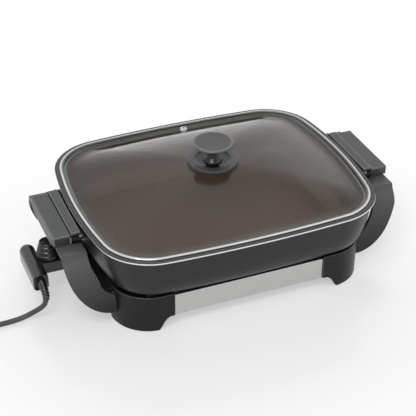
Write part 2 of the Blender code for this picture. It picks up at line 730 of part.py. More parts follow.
def make_foot(body, name, sx, sy):
    """One corner foot: a curved wall with an arch cut at each end, round a rubber pad."""
    outer = base_corner_arc()
    inner = base_corner_arc(FOOT_WALL)
    wall = [(BASE_HALF_LENGTH, FOOT_SIDE_END), *outer, (FOOT_FRONT_END, BASE_HALF_DEPTH)]
    wall += [(FOOT_FRONT_END, BASE_HALF_DEPTH - FOOT_WALL), *reversed(inner)]
    wall += [(BASE_HALF_LENGTH - FOOT_WALL, FOOT_SIDE_END)]
    foot = plate(add_piece, f"foot_{name}", [in_corner(wall, sx, sy)], FOOT_LIFT, BASE_HEIGHT, "XY",
                 BLACK_PLASTIC, body)
    front_arch = arch_outline(BASE_HALF_LENGTH - FOOT_FRONT_LENGTH, FOOT_FRONT_END)
    side_arch = arch_outline(BASE_HALF_DEPTH - FOOT_END_LENGTH, FOOT_SIDE_END)
    reach = sorted((sy * (BASE_HALF_DEPTH - FOOT_WALL - OVERRUN), sy * (BASE_HALF_DEPTH + OVERRUN)))
    combine(foot, plate(add_cutter, f"front arch {name}", [[(sx * x, z) for x, z in front_arch]],
                        *reach, "XZ", body))
    reach = sorted((sx * (BASE_HALF_LENGTH - FOOT_WALL - OVERRUN), sx * (BASE_HALF_LENGTH + OVERRUN)))
    combine(foot, plate(add_cutter, f"side arch {name}", [[(sy * y, z) for y, z in side_arch]],
                        *reach, "YZ", body))
    make_foot_pad(body, name, sx, sy)


def make_foot_pad(body, name, sx, sy):
    """The rubber block pressed into the foot's corner; the foot stands on it."""
    edge = FOOT_WALL + GAP
    near_x = BASE_HALF_LENGTH - FOOT_FRONT_LENGTH
    near_y = BASE_HALF_DEPTH - FOOT_END_LENGTH
    bend = base_corner_arc(edge)[1:-1]
    outline = [(bend[0][0], near_y), *bend, (near_x, bend[-1][1]), (near_x, near_y)]
    plate(add_piece, f"foot_pad_{name}", [in_corner(outline, sx, sy)], 0.0, PAD_HEIGHT, "XY", RUBBER, body)


def arch_outline(foot, end):
    """The cut under a foot's wall: flat up to the end of the wall, then falling to the foot."""
    start = foot - ARCH_RUN
    curve = [(start + run * ARCH_RUN, height * ARCH_HEIGHT) for run, height in ARCH_SHARES]
    return [(end - OVERRUN, -OVERRUN), (end - OVERRUN, ARCH_HEIGHT), *curve, (foot, -OVERRUN)]


def make_band(body, end, sy):
    """The stainless band between two feet, a channel with its flanges turned inwards."""
    top = BASE_HEIGHT - BAND_DROP
    bottom = ARCH_HEIGHT - BAND_THICKNESS + GAP
    face = BASE_HALF_DEPTH - BAND_RECESS
    back = face - BAND_THICKNESS
    tip = face - BAND_FLANGE
    section = [
        (face, bottom), (face, top), (tip, top), (tip, top - BAND_THICKNESS), (back, top - BAND_THICKNESS),
        (back, bottom + BAND_THICKNESS), (tip, bottom + BAND_THICKNESS), (tip, bottom),
    ]
    half = FOOT_FRONT_END - GAP
    outline = [(sy * y, z) for y, z in section]
    plate(add_piece, f"steel_band_{end}", [outline], -half, half, "YZ", BAND_STEEL, body)


def make_tray(body):
    """The tray inside the feet and the four posts that the pan stands on."""
    inset = FOOT_WALL + GAP
    top = TRAY_BOTTOM + TRAY_WALL
    profile = [
        (inset, TRAY_BOTTOM), (inset, top),
        (inset + TRAY_THICKNESS, top), (inset + TRAY_THICKNESS, TRAY_FLOOR),
    ]
    rings = [at_height(base_outline(step), height) for step, height in profile]
    add_piece("base_tray", loft_mesh("base_tray", rings), GREY_STEEL, body)
    for name, sx, sy in CORNERS:
        place = (sx * REST_X_SHARE * PAN_HALF_LENGTH, sy * REST_Y_SHARE * PAN_HALF_DEPTH, 0.0)
        post = rod_mesh(f"pan_rest_{name}", REST_RADIUS, TRAY_FLOOR + GAP, PAN_BOTTOM - GAP)
        add_piece(f"pan_rest_{name}", post, CERAMIC, body, place)


def arm_face(height):
    """How far the arm's front face stands from the middle of the object at a height."""
    return ARM_DEPTH * read_shares(ARM_FACE_SHARES, height / ARM_TOP)


def make_side_rail(body, side, sx):
    """The rail between the two feet of one end, over a panel that closes the gap between them."""
    outer = BASE_HALF_LENGTH + GAP + RAIL_WIDTH
    face = BASE_HALF_LENGTH + GAP
    back = BASE_HALF_LENGTH - FOOT_WALL
    end = FOOT_SIDE_END - GAP
    half = arm_face(BASE_HEIGHT) - ARM_THICKNESS - 3 * GAP
    outline = [(face, end), (face, half), (outer, half), (outer, -half), (face, -half), (face, -end)]
    outline += [(back, -end), (back, end)]
    top = BASE_HEIGHT + GAP
    rail = plate(add_piece, f"side_rail_{side}", [[(sx * x, y) for x, y in outline]], top - RAIL_HEIGHT, top,
                 "XY", BLACK_PLASTIC, body)
    panel = sorted((sx * back, sx * (back + RAIL_PANEL)))
    mesh = box_mesh(f"side panel {side}", (panel[0], -end, ARCH_HEIGHT),
                    (panel[1], end, top - RAIL_HEIGHT / 2))
    combine(rail, add_cutter(f"side panel {side}", mesh, body), "UNION")
    if sx < 0:
        notch_half = GUARD_HALF + NOTCH_CLEAR
        notch = box_mesh("control notch", (-outer - OVERRUN, -notch_half, GUARD_BOTTOM - NOTCH_CLEAR),
                         (OVERRUN - back, notch_half, top + OVERRUN))
        combine(rail, add_cutter("control notch", notch, body))


def make_arm(body, name, sx, sy):
    """A free arm: a curved blade from the foot's corner up to a flat ledge under the handle's end."""
    front = [Vector((arm_face(z), z)) for z in arm_levels()]
    front.append(Vector((LEDGE_END, ARM_TOP)))
    rings = []
    for face, back in zip(front, arm_back(front)):
        face_root = foot_side(face.x) + 2 * GAP
        back_root = foot_side(back.x) + 2 * GAP
        ring = [
            (max(face_root, arm_edge(ARM_INNER, face.y)), *face), (arm_edge(ARM_OUTER, face.y), *face),
            (arm_edge(ARM_OUTER, back.y), *back), (max(back_root, arm_edge(ARM_INNER, back.y)), *back),
        ]
        rings.append([(sx * x, sy * y, z) for x, y, z in ring])
    add_piece(f"arm_{name}", loft_mesh(f"arm_{name}", rings), BLACK_PLASTIC, body)


def foot_side(depth):
    """How far out the foot's rounded corner stands at a depth."""
    across = max(0.0, depth - (BASE_HALF_DEPTH - BASE_CORNER))
    return BASE_HALF_LENGTH - BASE_CORNER + math.sqrt(BASE_CORNER**2 - across**2)


def arm_edge(edge, height):
    """How far out one edge of the arm stands, a quarter ellipse from the foot up to the ledge."""
    centre, run, fall = edge
    share = min(1.0, (ARM_TOP - height) / fall)
    return centre + run * math.sqrt(1 - share * share)


def arm_levels():
    """The heights of the arm's rings, from its lowest point on the foot up to its top."""
    root = foot_side(ARM_DEPTH - ARM_THICKNESS) + 2 * GAP
    centre, run, fall = ARM_OUTER
    lowest = ARM_TOP - fall * math.sqrt(1 - ((root - centre) / run) ** 2) + ARM_LEAST_STEP
    heights = [share * ARM_TOP for share, _ in ARM_FACE_SHARES]
    for _, _, edge_fall in (ARM_INNER, ARM_OUTER):
        heights += [ARM_TOP - edge_fall * math.sin(a / ARM_STEPS * math.pi / 2) for a in range(ARM_STEPS + 1)]
    levels = [lowest]
    for height in sorted(heights):
        if levels[-1] + ARM_LEAST_STEP < height < ARM_TOP - ARM_THICKNESS:
            levels.append(height)
    return [*levels, ARM_TOP]


def arm_back(front):
    """The arm's back, one thickness behind each point of its front."""
    back = []
    for index, point in enumerate(front):
        before = (point - front[max(index - 1, 0)]).normalized()
        after = (front[min(index + 1, len(front) - 1)] - point).normalized()
        sides = [Vector((-way.y, way.x)) for way in (before, after) if way.length > 0]
        middle = sum(sides, Vector((0.0, 0.0))).normalized()
        back.append(point + middle * ARM_THICKNESS / middle.dot(sides[0]))
    return back


def make_lid_rim(body):
    """The steel rim: a flange on the lip, a skirt inside the opening and a shelf for the glass."""
    skirt_out = LIP_WIDTH + RIM_SKIRT_CLEAR
    skirt_in = skirt_out + RIM_SHEET
    shelf_top = GLASS_EDGE - GLASS_THICKNESS - GAP
    shelf_bottom = shelf_top - RIM_SHEET
    shelf_tip = skirt_in + RIM_SHELF
    bottom = LIP_TOP - RIM_SKIRT_DROP
    profile = [
        (RIM_INSET, LIP_TOP + GAP), (RIM_INSET, RIM_TOP - RIM_SHEET / 2),
        (RIM_INSET + RIM_SHEET / 2, RIM_TOP), (skirt_in, RIM_TOP),
        (skirt_in, shelf_top), (shelf_tip, shelf_top), (shelf_tip, shelf_bottom),
        (skirt_in, shelf_bottom), (skirt_in, bottom), (skirt_out, bottom), (skirt_out, LIP_TOP + GAP),
    ]
    rings = [at_height(bowed_outline(PAN_PLAN, inset), height) for inset, height in profile]
    add_piece("lid_rim", loft_mesh("lid_rim", rings, closed=True), POLISHED_STEEL, body)


def make_glass(body):
    """The pane: a flat margin and a dome, with holes for the vent and the knob's screw."""
    edge = bowed_outline(PAN_PLAN, GLASS_INSET)
    shoulder = bowed_outline(PAN_PLAN, GLASS_INSET + GLASS_MARGIN)
    rings = [at_height(edge, GLASS_EDGE)]
    for share in GLASS_RING_SHARES:
        height = GLASS_EDGE + GLASS_RISE * (1 - share**GLASS_DOME_POWER)
        rings.append([(share * x, share * y, height) for x, y in shoulder])
    bm = bmesh.new()
    loops = [[bm.verts.new(point) for point in ring] for ring in rings]
    for lower, upper in zip(loops, loops[1:]):
        for index, corner in enumerate(lower):
            following = (index + 1) % len(lower)
            bm.faces.new((corner, lower[following], upper[following], upper[index]))
    bm.faces.new(loops[-1])
    mesh = finish_mesh(bm, "lid_glass", SMOOTH_ANGLE)
    glass = add_piece("lid_glass", mesh, GLASS, body)
    shell = glass.modifiers.new("thickness", "SOLIDIFY")
    shell.thickness = GLASS_THICKNESS
    shell.offset = -1.0
    low = GLASS_EDGE - GLASS_THICKNESS - OVERRUN
    knob_hole = rod_mesh("knob hole", GLASS_HOLE, low, GLASS_TOP + OVERRUN)
    combine(glass, add_cutter("knob hole", knob_hole, body))
    vent_hole = rod_mesh("vent hole", VENT_BARREL + GAP, low, GLASS_EDGE + OVERRUN)
    combine(glass, add_cutter("vent hole", vent_hole, body, vent_place()))


def vent_place():
    return (VENT_X, PAN_HALF_DEPTH - VENT_INSET, 0.0)


def make_vent(body):
    """The eyelet in the pane's margin that lets steam out."""
    over = GLASS_EDGE + GAP
    under = GLASS_EDGE - GLASS_THICKNESS - GAP
    profile = [
        (VENT_HOLE, over + VENT_FLANGE_HEIGHT), (VENT_BARREL, over + VENT_FLANGE_HEIGHT),
        (VENT_FLANGE, over + VENT_FLANGE_HEIGHT / 2), (VENT_FLANGE, over), (VENT_BARREL, over),
        (VENT_BARREL, under), (VENT_FLANGE, under), (VENT_FLANGE, under - VENT_FLANGE_HEIGHT / 2),
        (VENT_HOLE, under - VENT_FLANGE_HEIGHT / 2),
    ]
    turned("vent_eyelet", profile, POLISHED_STEEL, body, vent_place(), TURN_STEPS // 2, closed=True)


def make_knob(body):
    """The knob: a grey flange on the glass, a waisted stem, a disc and the screw from below."""
    bore = SCREW_RADIUS + SCREW_CLEAR
    flange_top = FLANGE_BOTTOM + FLANGE_HEIGHT
    recess = flange_top - FLANGE_RECESS
    slope = FLANGE_RECESS
    flange = [
        (bore, recess), (FLANGE_RECESS_RADIUS, recess), (FLANGE_RECESS_RADIUS + slope, flange_top),
        (FLANGE_RADIUS - slope, flange_top), (FLANGE_RADIUS, flange_top - slope),
        (FLANGE_RADIUS, FLANGE_BOTTOM), (bore, FLANGE_BOTTOM),
    ]
    turned("knob_flange", flange, GRIP_PLASTIC, body, steps=FINE_TURN_STEPS, closed=True)
    stem = [(0.0, STEM_BOTTOM + STEM_HEIGHT)]
    stem += [(r * STEM_RADIUS, STEM_BOTTOM + z * STEM_HEIGHT) for r, z in STEM_SHARES]
    screw_tip = STEM_BOTTOM + SCREW_GRIP
    stem += [(bore, STEM_BOTTOM), (bore, screw_tip + GAP), (0.0, screw_tip + GAP)]
    turned("knob_stem", stem, GLOSS_BLACK, body)
    half = KNOB_THICKNESS / 2
    disc = [
        (0.0, KNOB_BOTTOM + KNOB_THICKNESS), (KNOB_RADIUS - half, KNOB_BOTTOM + KNOB_THICKNESS),
        (KNOB_RADIUS, KNOB_BOTTOM + KNOB_THICKNESS - half / 2), (KNOB_RADIUS, KNOB_BOTTOM + half / 2),
        (KNOB_RADIUS - half, KNOB_BOTTOM), (0.0, KNOB_BOTTOM),
    ]
    turned("knob_disc", disc, GRIP_PLASTIC, body, steps=FINE_TURN_STEPS)
    make_knob_screw(body, screw_tip, bore)


def make_knob_screw(body, tip, bore):
    """The screw that holds the knob, with its washer under the glass."""
    washer_top = GLASS_TOP - GLASS_THICKNESS - GAP
    washer_bottom = washer_top - WASHER_THICKNESS
    washer = [
        (bore, washer_top), (WASHER_RADIUS, washer_top),
        (WASHER_RADIUS, washer_bottom), (bore, washer_bottom),
    ]
    turned("knob_washer", washer, RUBBER, body, closed=True)
    head_top = washer_bottom - GAP
    head_bottom = head_top - SCREW_HEAD_HEIGHT
    screw = [
        (0.0, tip), (SCREW_RADIUS, tip), (SCREW_RADIUS, head_top), (SCREW_HEAD_RADIUS, head_top),
        (SCREW_HEAD_RADIUS, head_bottom + SCREW_HEAD_HEIGHT / 2),
        (SCREW_HEAD_RADIUS * SCREW_CROWN_SHARE, head_bottom), (0.0, head_bottom),
    ]
    turned("knob_screw", screw, BRIGHT_STEEL, body, steps=TURN_STEPS // 2)


def housing_outline(inset=0.0):
    """The control's wide end in plan: flat at the front, where the cord leaves, and round at the rear."""
    radius = HOUSING_WIDTH / 2 - inset
    centre_x = -(PROBE_REACH + NECK_ROOT) / 2
    front = [(centre_x - radius, inset - HOUSING_HALF), (centre_x + radius, inset - HOUSING_HALF)]
    rear = (centre_x, HOUSING_HALF - HOUSING_WIDTH / 2)
    return front + arc(rear, radius, 0.0, math.pi, CORNER_STEPS)


def make_control_shell(body, name, keep_below):
    """One half of the control's housing, above or below the line through the contacts."""
    low = CONTACT_Z - HOUSING_BELOW
    neck_low = CONTACT_Z - NECK_BELOW
    shell = plate(add_piece, name, [housing_outline()], low, HOUSING_TOP, "XY", PROBE_PLASTIC, body)
    round_edges(shell, HOUSING_ROUND, 3)
    neck_root = -NECK_ROOT - HOUSING_WIDTH / 2
    neck_side = [
        (neck_root, neck_low), (-NOSE_TIP, neck_low), (-NOSE_TIP, HOUSING_TOP - NOSE_SLOPE_FALL),
        (-NOSE_TIP - NOSE_SLOPE_RUN, HOUSING_TOP), (neck_root, HOUSING_TOP),
    ]
    neck = plate(add_cutter, f"neck {name}", [neck_side], -NECK_HALF, NECK_HALF, "XZ", body)
    round_edges(neck, NECK_ROUND)
    combine(shell, neck, "UNION")
    floor = HOUSING_WALL - HOUSING_BELOW
    cavity = plate(add_cutter, f"housing hollow {name}", [housing_outline(HOUSING_WALL)],
                   CONTACT_Z + floor, HOUSING_TOP - HOUSING_WALL, "XY", body)
    combine(shell, cavity)
    throat = box_mesh(f"neck hollow {name}",
                      (neck_root, HOUSING_WALL - NECK_HALF, neck_low + HOUSING_WALL),
                      (-NOSE_TIP - NOSE_SOLID, NECK_HALF - HOUSING_WALL, HOUSING_TOP - HOUSING_WALL))
    combine(shell, add_cutter(f"neck hollow {name}", throat, body))
    cut_bores(shell, body, name)
    reach = PROBE_REACH + OVERRUN
    wide = HOUSING_HALF + OVERRUN
    bottom, top = low - OVERRUN, CONTACT_Z + GAP / 2
    if keep_below:
        bottom, top = CONTACT_Z - GAP / 2, HOUSING_TOP + OVERRUN
    away = box_mesh(f"other half {name}", (-reach, -wide, bottom), (0.0, wide, top))
    combine(shell, add_cutter(f"other half {name}", away, body))
    return shell


def cut_bores(shell, body, name):
    """The bores in the control's nose for the two pins and the sensor."""
    low = NOSE_TIP - OVERRUN
    high = NOSE_TIP + NOSE_SOLID + OVERRUN
    bores = [(sy * PIN_OFFSET, PIN_RADIUS + PIN_BORE_CLEAR) for _, sy in ENDS]
    bores.append((0.0, SENSOR_RADIUS + SENSOR_CLEAR))
    for index, (offset, radius) in enumerate(bores):
        rod = rod_mesh(f"bore {index} {name}", radius, low, high, TURN_STEPS // 2)
        place = (0.0, offset, CONTACT_Z)
        combine(shell, add_cutter(f"bore {index} {name}", rod, body, place, (0.0, -math.pi / 2, 0.0)))


def make_control(body, dial_body):
    """The plug-in heat control: housing halves, thermostat, sensor, dial and dial shaft."""
    make_control_shell(body, "control_housing_lower", True)
    upper = make_control_shell(body, "control_housing_upper", False)
    hole = rod_mesh("shaft hole", SHAFT_RADIUS + SHAFT_CLEAR, CONTACT_Z, HOUSING_TOP + OVERRUN)
    combine(upper, add_cutter("shaft hole", hole, body, (-DIAL_X, 0.0, 0.0)))
    inner = DIAL_X - THERMOSTAT_LENGTH / 2
    outer = DIAL_X + THERMOSTAT_LENGTH / 2
    top = CONTACT_Z + THERMOSTAT_ABOVE
    low = (-outer, -THERMOSTAT_HALF, CONTACT_Z - THERMOSTAT_BELOW + GAP)
    add_piece("thermostat", box_mesh("thermostat", low, (-inner, THERMOSTAT_HALF, top)), CERAMIC, body)
    sensor = rod_mesh("sensor_stem", SENSOR_RADIUS, NOSE_TIP - SENSOR_REACH, inner - GAP)
    add_piece("sensor_stem", sensor, BRIGHT_STEEL, body, (0.0, 0.0, CONTACT_Z), (0.0, -math.pi / 2, 0.0))
    make_dial(dial_body, top)


def make_dial(body, thermostat_top):
    """The stepped temperature dial on its shaft; both turn about the body's own axis."""
    bottom = HOUSING_TOP + GAP
    shaft_top = bottom + SHAFT_IN_DIAL
    shaft = rod_mesh("dial_shaft", SHAFT_RADIUS, thermostat_top + GAP, shaft_top)
    add_piece("dial_shaft", shaft, BRIGHT_STEEL, body)
    bore = SHAFT_RADIUS + GAP
    profile = [(0.0, bottom + DIAL_HEIGHT)]
    profile += [(r * DIAL_RADIUS, bottom + z * DIAL_HEIGHT) for r, z in DIAL_SHARES]
    profile += [(bore, bottom), (bore, shaft_top + GAP), (0.0, shaft_top + GAP)]
    turned("temperature_dial", profile, PROBE_PLASTIC, body, steps=FINE_TURN_STEPS)


def smooth_route(knots, spacing):
    """Points at an even spacing on one smooth curve through the knots."""
    knots = [Vector(knot) for knot in knots]
    padded = [2 * knots[0] - knots[1], *knots, 2 * knots[-1] - knots[-2]]
    fine = []
    for a, b, c, d in zip(padded, padded[1:], padded[2:], padded[3:]):
        for index in range(SPLINE_STEPS):
            fine.append(spline_point(a, b, c, d, index / SPLINE_STEPS))
    fine.append(knots[-1])
    lengths = [0.0]
    for first, second in zip(fine, fine[1:]):
        lengths.append(lengths[-1] + (second - first).length)
    count = max(2, round(lengths[-1] / spacing))
    points = []
    for index in range(count + 1):
        points.append(point_at_length(fine, lengths, lengths[-1] * index / count))
    return points


def spline_point(a, b, c, d, t):
    """A point between b and c on the smooth curve through four knots."""
    ab, bc, cd = ((q - p).length**0.5 for p, q in ((a, b), (b, c), (c, d)))
    leave = (b - a) / ab - (c - a) / (ab + bc) + (c - b) / bc
    arrive = (c - b) / bc - (d - b) / (bc + cd) + (d - c) / cd
    leave, arrive = leave * bc, arrive * bc
    square, cube = t * t, t * t * t
    return (2 * cube - 3 * square + 1) * b + (cube - 2 * square + t) * leave \
        + (3 * square - 2 * cube) * c + (cube - square) * arrive


def point_at_length(points, lengths, length):
    """The point at a length along a chain of points."""
    for index in range(1, len(points)):
        if length <= lengths[index] + MERGE:
            span = lengths[index] - lengths[index - 1]
            return points[index - 1].lerp(points[index], (length - lengths[index - 1]) / span)
    return points[-1]


def coil_points():
    """The put-away coil: it spirals in on the floor, climbs a layer and spirals out on top."""
    turns = COIL_TURNS
    outer = COIL_MIDDLE_RADIUS + LAYER_RISE * turns / 4
    low = COIL_LIFT + CORD_RADIUS
    count = round(turns * COIL_TURN_POINTS)
    points = [Vector((COIL_X + 2 * CORD_RADIUS, COIL_Y - outer, low))]
    for index in range(count + 1):
        done = turns * index / count
        radius = outer - LAYER_RISE * min(done, turns - done)
        climb = min(1.0, max(0.0, 0.5 + 2 * (done - turns / 2)))
        height = low + LAYER_RISE * climb * climb * (3 - 2 * climb)
        angle = -math.pi / 2 - 2 * math.pi * done
        points.append(Vector((COIL_X + radius * math.cos(angle), COIL_Y + radius * math.sin(angle), height)))
    points.append(points[-1] + Vector((0.0, 2 * CORD_RADIUS, 0.0)))
    return points


def report_coil_gap(points):
    """Print the least gap between two turns of the coil, measured between its points."""
    apart = COIL_TURN_POINTS // 2
    least = min((a - b).length for i, a in enumerate(points) for b in points[i + apart:])
    print(f"least gap between the coil's turns: {(least - 2 * CORD_RADIUS) * 1000:.2f} mm")


def make_relief(body):
    """The tapered strain relief at the control's front, bent down towards the cord."""
    root = Vector((-(PROBE_REACH + NECK_ROOT) / 2, -HOUSING_HALF - GAP, CONTACT_Z + RELIEF_ABOVE))
    straight = root - Vector((0.0, RELIEF_STRAIGHT, 0.0))
    bend = straight - Vector((0.0, RELIEF_RUN, 0.0))
    direction = (Vector(CORD_LEAD) - Vector(CORD_START)).normalized()
    tip = Vector(CORD_START) - direction * RELIEF_STRAIGHT
    points, radii = [root], [RELIEF_ROOT_RADIUS]
    for index in range(RELIEF_STEPS + 1):
        t = index / RELIEF_STEPS
        points.append((1 - t) ** 2 * straight + 2 * t * (1 - t) * bend + t * t * tip)
        radii.append(RELIEF_ROOT_RADIUS + (RELIEF_TIP_RADIUS - RELIEF_ROOT_RADIUS) * t)
    points.append(Vector(CORD_START))
    radii.append(RELIEF_TIP_RADIUS)
    tube("strain_relief", points, radii, PROBE_PLASTIC, body, 4)
    return direction


def make_cord(body):
    """The cord from the strain relief over the floor to its coil, and from the coil to the plug."""
    direction = make_relief(body)
    coil = coil_points()
    report_coil_gap(coil)
    start = Vector(CORD_START) + direction * GAP
    end = coil[0] + Vector((GAP, 0.0, 0.0))
    straight = end + Vector((2 * CORD_RADIUS, 0.0, 0.0))
    free = smooth_route([Vector(CORD_LEAD), *CORD_ROUTE, straight], CORD_POINT_SPACING)
    route = [start, *free, end]
    tube("cord", route, [CORD_RADIUS] * len(route), CORD_PLASTIC, body)
    tube("cord_coil", coil, [CORD_RADIUS] * len(coil), CORD_PLASTIC, body, 1)
    make_tie(body)
    leave = coil[-1] + Vector((0.0, GAP, 0.0))
    floor = leave + Vector((0.0, TAIL_LENGTH, 0.0))
    floor.z = PLUG_HEIGHT / 2
    lead = leave + Vector((0.0, 2 * CORD_RADIUS, 0.0))
    trail = floor - Vector((0.0, 2 * CORD_RADIUS, 0.0))
    tail = [leave, *smooth_route([lead, lead.lerp(trail, TAIL_KNOT_SHARE), trail], CORD_POINT_SPACING), floor]
    tube("cord_tail", tail, [CORD_RADIUS] * len(tail), CORD_PLASTIC, body)
    make_plug(body, floor)


def make_tie(body):
    """The tie round the coil's bundle, at the side nearest the object."""
    outer = COIL_MIDDLE_RADIUS + LAYER_RISE * COIL_TURNS / 4
    depths = [LAYER_RISE * min(done, COIL_TURNS - done) for done in TIE_PASSES]
    near = outer - max(depths) - CORD_RADIUS - 2 * GAP
    far = outer - min(depths) + CORD_RADIUS + GAP
    low = COIL_LIFT - GAP
    high = COIL_LIFT + 2 * CORD_RADIUS + LAYER_RISE + GAP
    rings = []
    for wall in (TIE_THICKNESS, 0.0):
        left, right, bottom, top = near - wall, far + wall, low - wall, high + wall
        box = [(left, bottom), (right, bottom), (right, top), (left, top)]
        rings.append([(COIL_X + x, z) for x, z in box])
    plate(add_piece, "cord_tie", rings, COIL_Y - TIE_WIDTH / 2, COIL_Y + TIE_WIDTH / 2, "XZ", RUBBER, body)


def make_plug(body, end):
    """The two-pin plug at the cord's end, lying on the floor."""
    face = end.y + GAP + PLUG_LENGTH
    low = (end.x - PLUG_HALF_WIDTH, end.y + GAP, 0.0)
    mesh = box_mesh("plug_body", low, (end.x + PLUG_HALF_WIDTH, face, PLUG_HEIGHT))
    plug = add_piece("plug_body", mesh, CORD_PLASTIC, body)
    round_edges(plug, PLUG_ROUND)
    for side, sx in SIDES:
        middle = end.x + sx * BLADE_OFFSET
        blade = box_mesh(f"plug_blade_{side}",
                         (middle - BLADE_THICKNESS / 2, face + GAP, end.z - BLADE_HALF_WIDTH),
                         (middle + BLADE_THICKNESS / 2, face + GAP + BLADE_LENGTH, end.z + BLADE_HALF_WIDTH))
        add_piece(f"plug_blade_{side}", blade, BRIGHT_STEEL, body)


clear_scene()
PARTS = new_collection("electric_skillet")
CUTTERS = new_collection("cutters")

COATED_METAL = new_material("coated_aluminium", (0.035, 0.033, 0.034), 0.45, 0.3)
DARK_STEEL = new_material("dark_steel", (0.09, 0.09, 0.09), 0.5, 0.8)
BRIGHT_STEEL = new_material("bright_steel", (0.7, 0.7, 0.7), 0.3, 1.0)
POLISHED_STEEL = new_material("polished_steel", (0.80, 0.80, 0.78), 0.15, 1.0)
BAND_STEEL = new_material("brushed_steel", (0.62, 0.62, 0.61), 0.35, 1.0)
GREY_STEEL = new_material("grey_steel", (0.35, 0.35, 0.35), 0.5, 0.9)
GRIP_PLASTIC = new_material("grip_plastic", (0.075, 0.075, 0.078), 0.5)
BLACK_PLASTIC = new_material("black_plastic", (0.020, 0.019, 0.020), 0.4)
GLOSS_BLACK = new_material("gloss_black_plastic", (0.012, 0.012, 0.013), 0.15)
PROBE_PLASTIC = new_material("control_plastic", (0.015, 0.015, 0.016), 0.25)
CORD_PLASTIC = new_material("cord_plastic", (0.03, 0.03, 0.03), 0.5)
RUBBER = new_material("rubber", (0.03, 0.03, 0.03), 0.8)
CERAMIC = new_material("ceramic", (0.75, 0.73, 0.68), 0.7)
GLASS = new_material("tempered_glass", (0.85, 0.92, 0.88), 0.05, 0.0, 0.9)


def build():
    """Build the skillet, body by body."""
    root = new_body("skillet", None, (FRAME_SHIFT, 0.0, 0.0))
    base = new_body("base", root)
    pan = new_body("pan_body", root)
    lid = new_body("lid", pan)
    control = new_body("control", pan)
    dial = new_body("dial", control, (-DIAL_X, 0.0, 0.0))
    for name, sx, sy in CORNERS:
        make_foot(base, name, sx, sy)
        make_arm(base, name, sx, sy)
    for end, sy in ENDS:
        make_band(base, end, sy)
    for side, sx in SIDES:
        make_side_rail(base, side, sx)
    make_tray(base)
    make_pan(pan)
    make_element(pan)
    for side, sx in SIDES:
        make_handle(pan, side, sx)
    make_lid_rim(lid)
    make_glass(lid)
    make_vent(lid)
    make_knob(lid)
    make_control(control, dial)
    make_cord(control)


build()
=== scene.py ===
"""Electric skillet: finishes, finer pieces, cord, camera and studio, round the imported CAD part."""

import logging
import math
from collections.abc import Callable, Iterable, Sequence
from dataclasses import dataclass
from enum import Enum

import bmesh
import bpy
from mathutils import Matrix, Vector


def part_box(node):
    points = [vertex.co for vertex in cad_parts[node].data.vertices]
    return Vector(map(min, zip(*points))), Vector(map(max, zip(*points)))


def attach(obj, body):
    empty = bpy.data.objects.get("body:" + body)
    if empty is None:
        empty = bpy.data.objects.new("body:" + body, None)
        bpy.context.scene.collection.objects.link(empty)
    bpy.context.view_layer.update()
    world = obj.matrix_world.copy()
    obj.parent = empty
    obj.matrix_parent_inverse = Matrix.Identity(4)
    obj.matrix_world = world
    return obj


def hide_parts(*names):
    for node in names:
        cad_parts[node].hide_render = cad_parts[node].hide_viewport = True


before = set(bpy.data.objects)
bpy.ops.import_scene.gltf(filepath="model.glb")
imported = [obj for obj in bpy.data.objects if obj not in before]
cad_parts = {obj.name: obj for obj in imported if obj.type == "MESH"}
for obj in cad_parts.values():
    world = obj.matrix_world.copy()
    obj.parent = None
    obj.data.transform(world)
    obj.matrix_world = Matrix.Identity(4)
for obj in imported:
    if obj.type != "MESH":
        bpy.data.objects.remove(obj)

Pair = tuple[float, float]
Triple = tuple[float, float, float]
Colour = tuple[float, float, float]

log = logging.getLogger("skillet")
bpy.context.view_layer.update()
PAN_LOW, PAN_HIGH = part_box("pan")
MIDDLE_X = (PAN_LOW.x + PAN_HIGH.x) / 2
WELD = 0.000002


class Body(Enum):
    """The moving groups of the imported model."""

    BASE = "base"
    PAN = "pan_body"
    LID = "lid"
    CONTROL = "control"
    DIAL = "dial"


class Side(Enum):
    """The two ends of the skillet, by the sign of X."""

    LEFT = -1
    RIGHT = 1


class End(Enum):
    """The front and the rear, by the sign of Y."""

    FRONT = -1
    REAR = 1


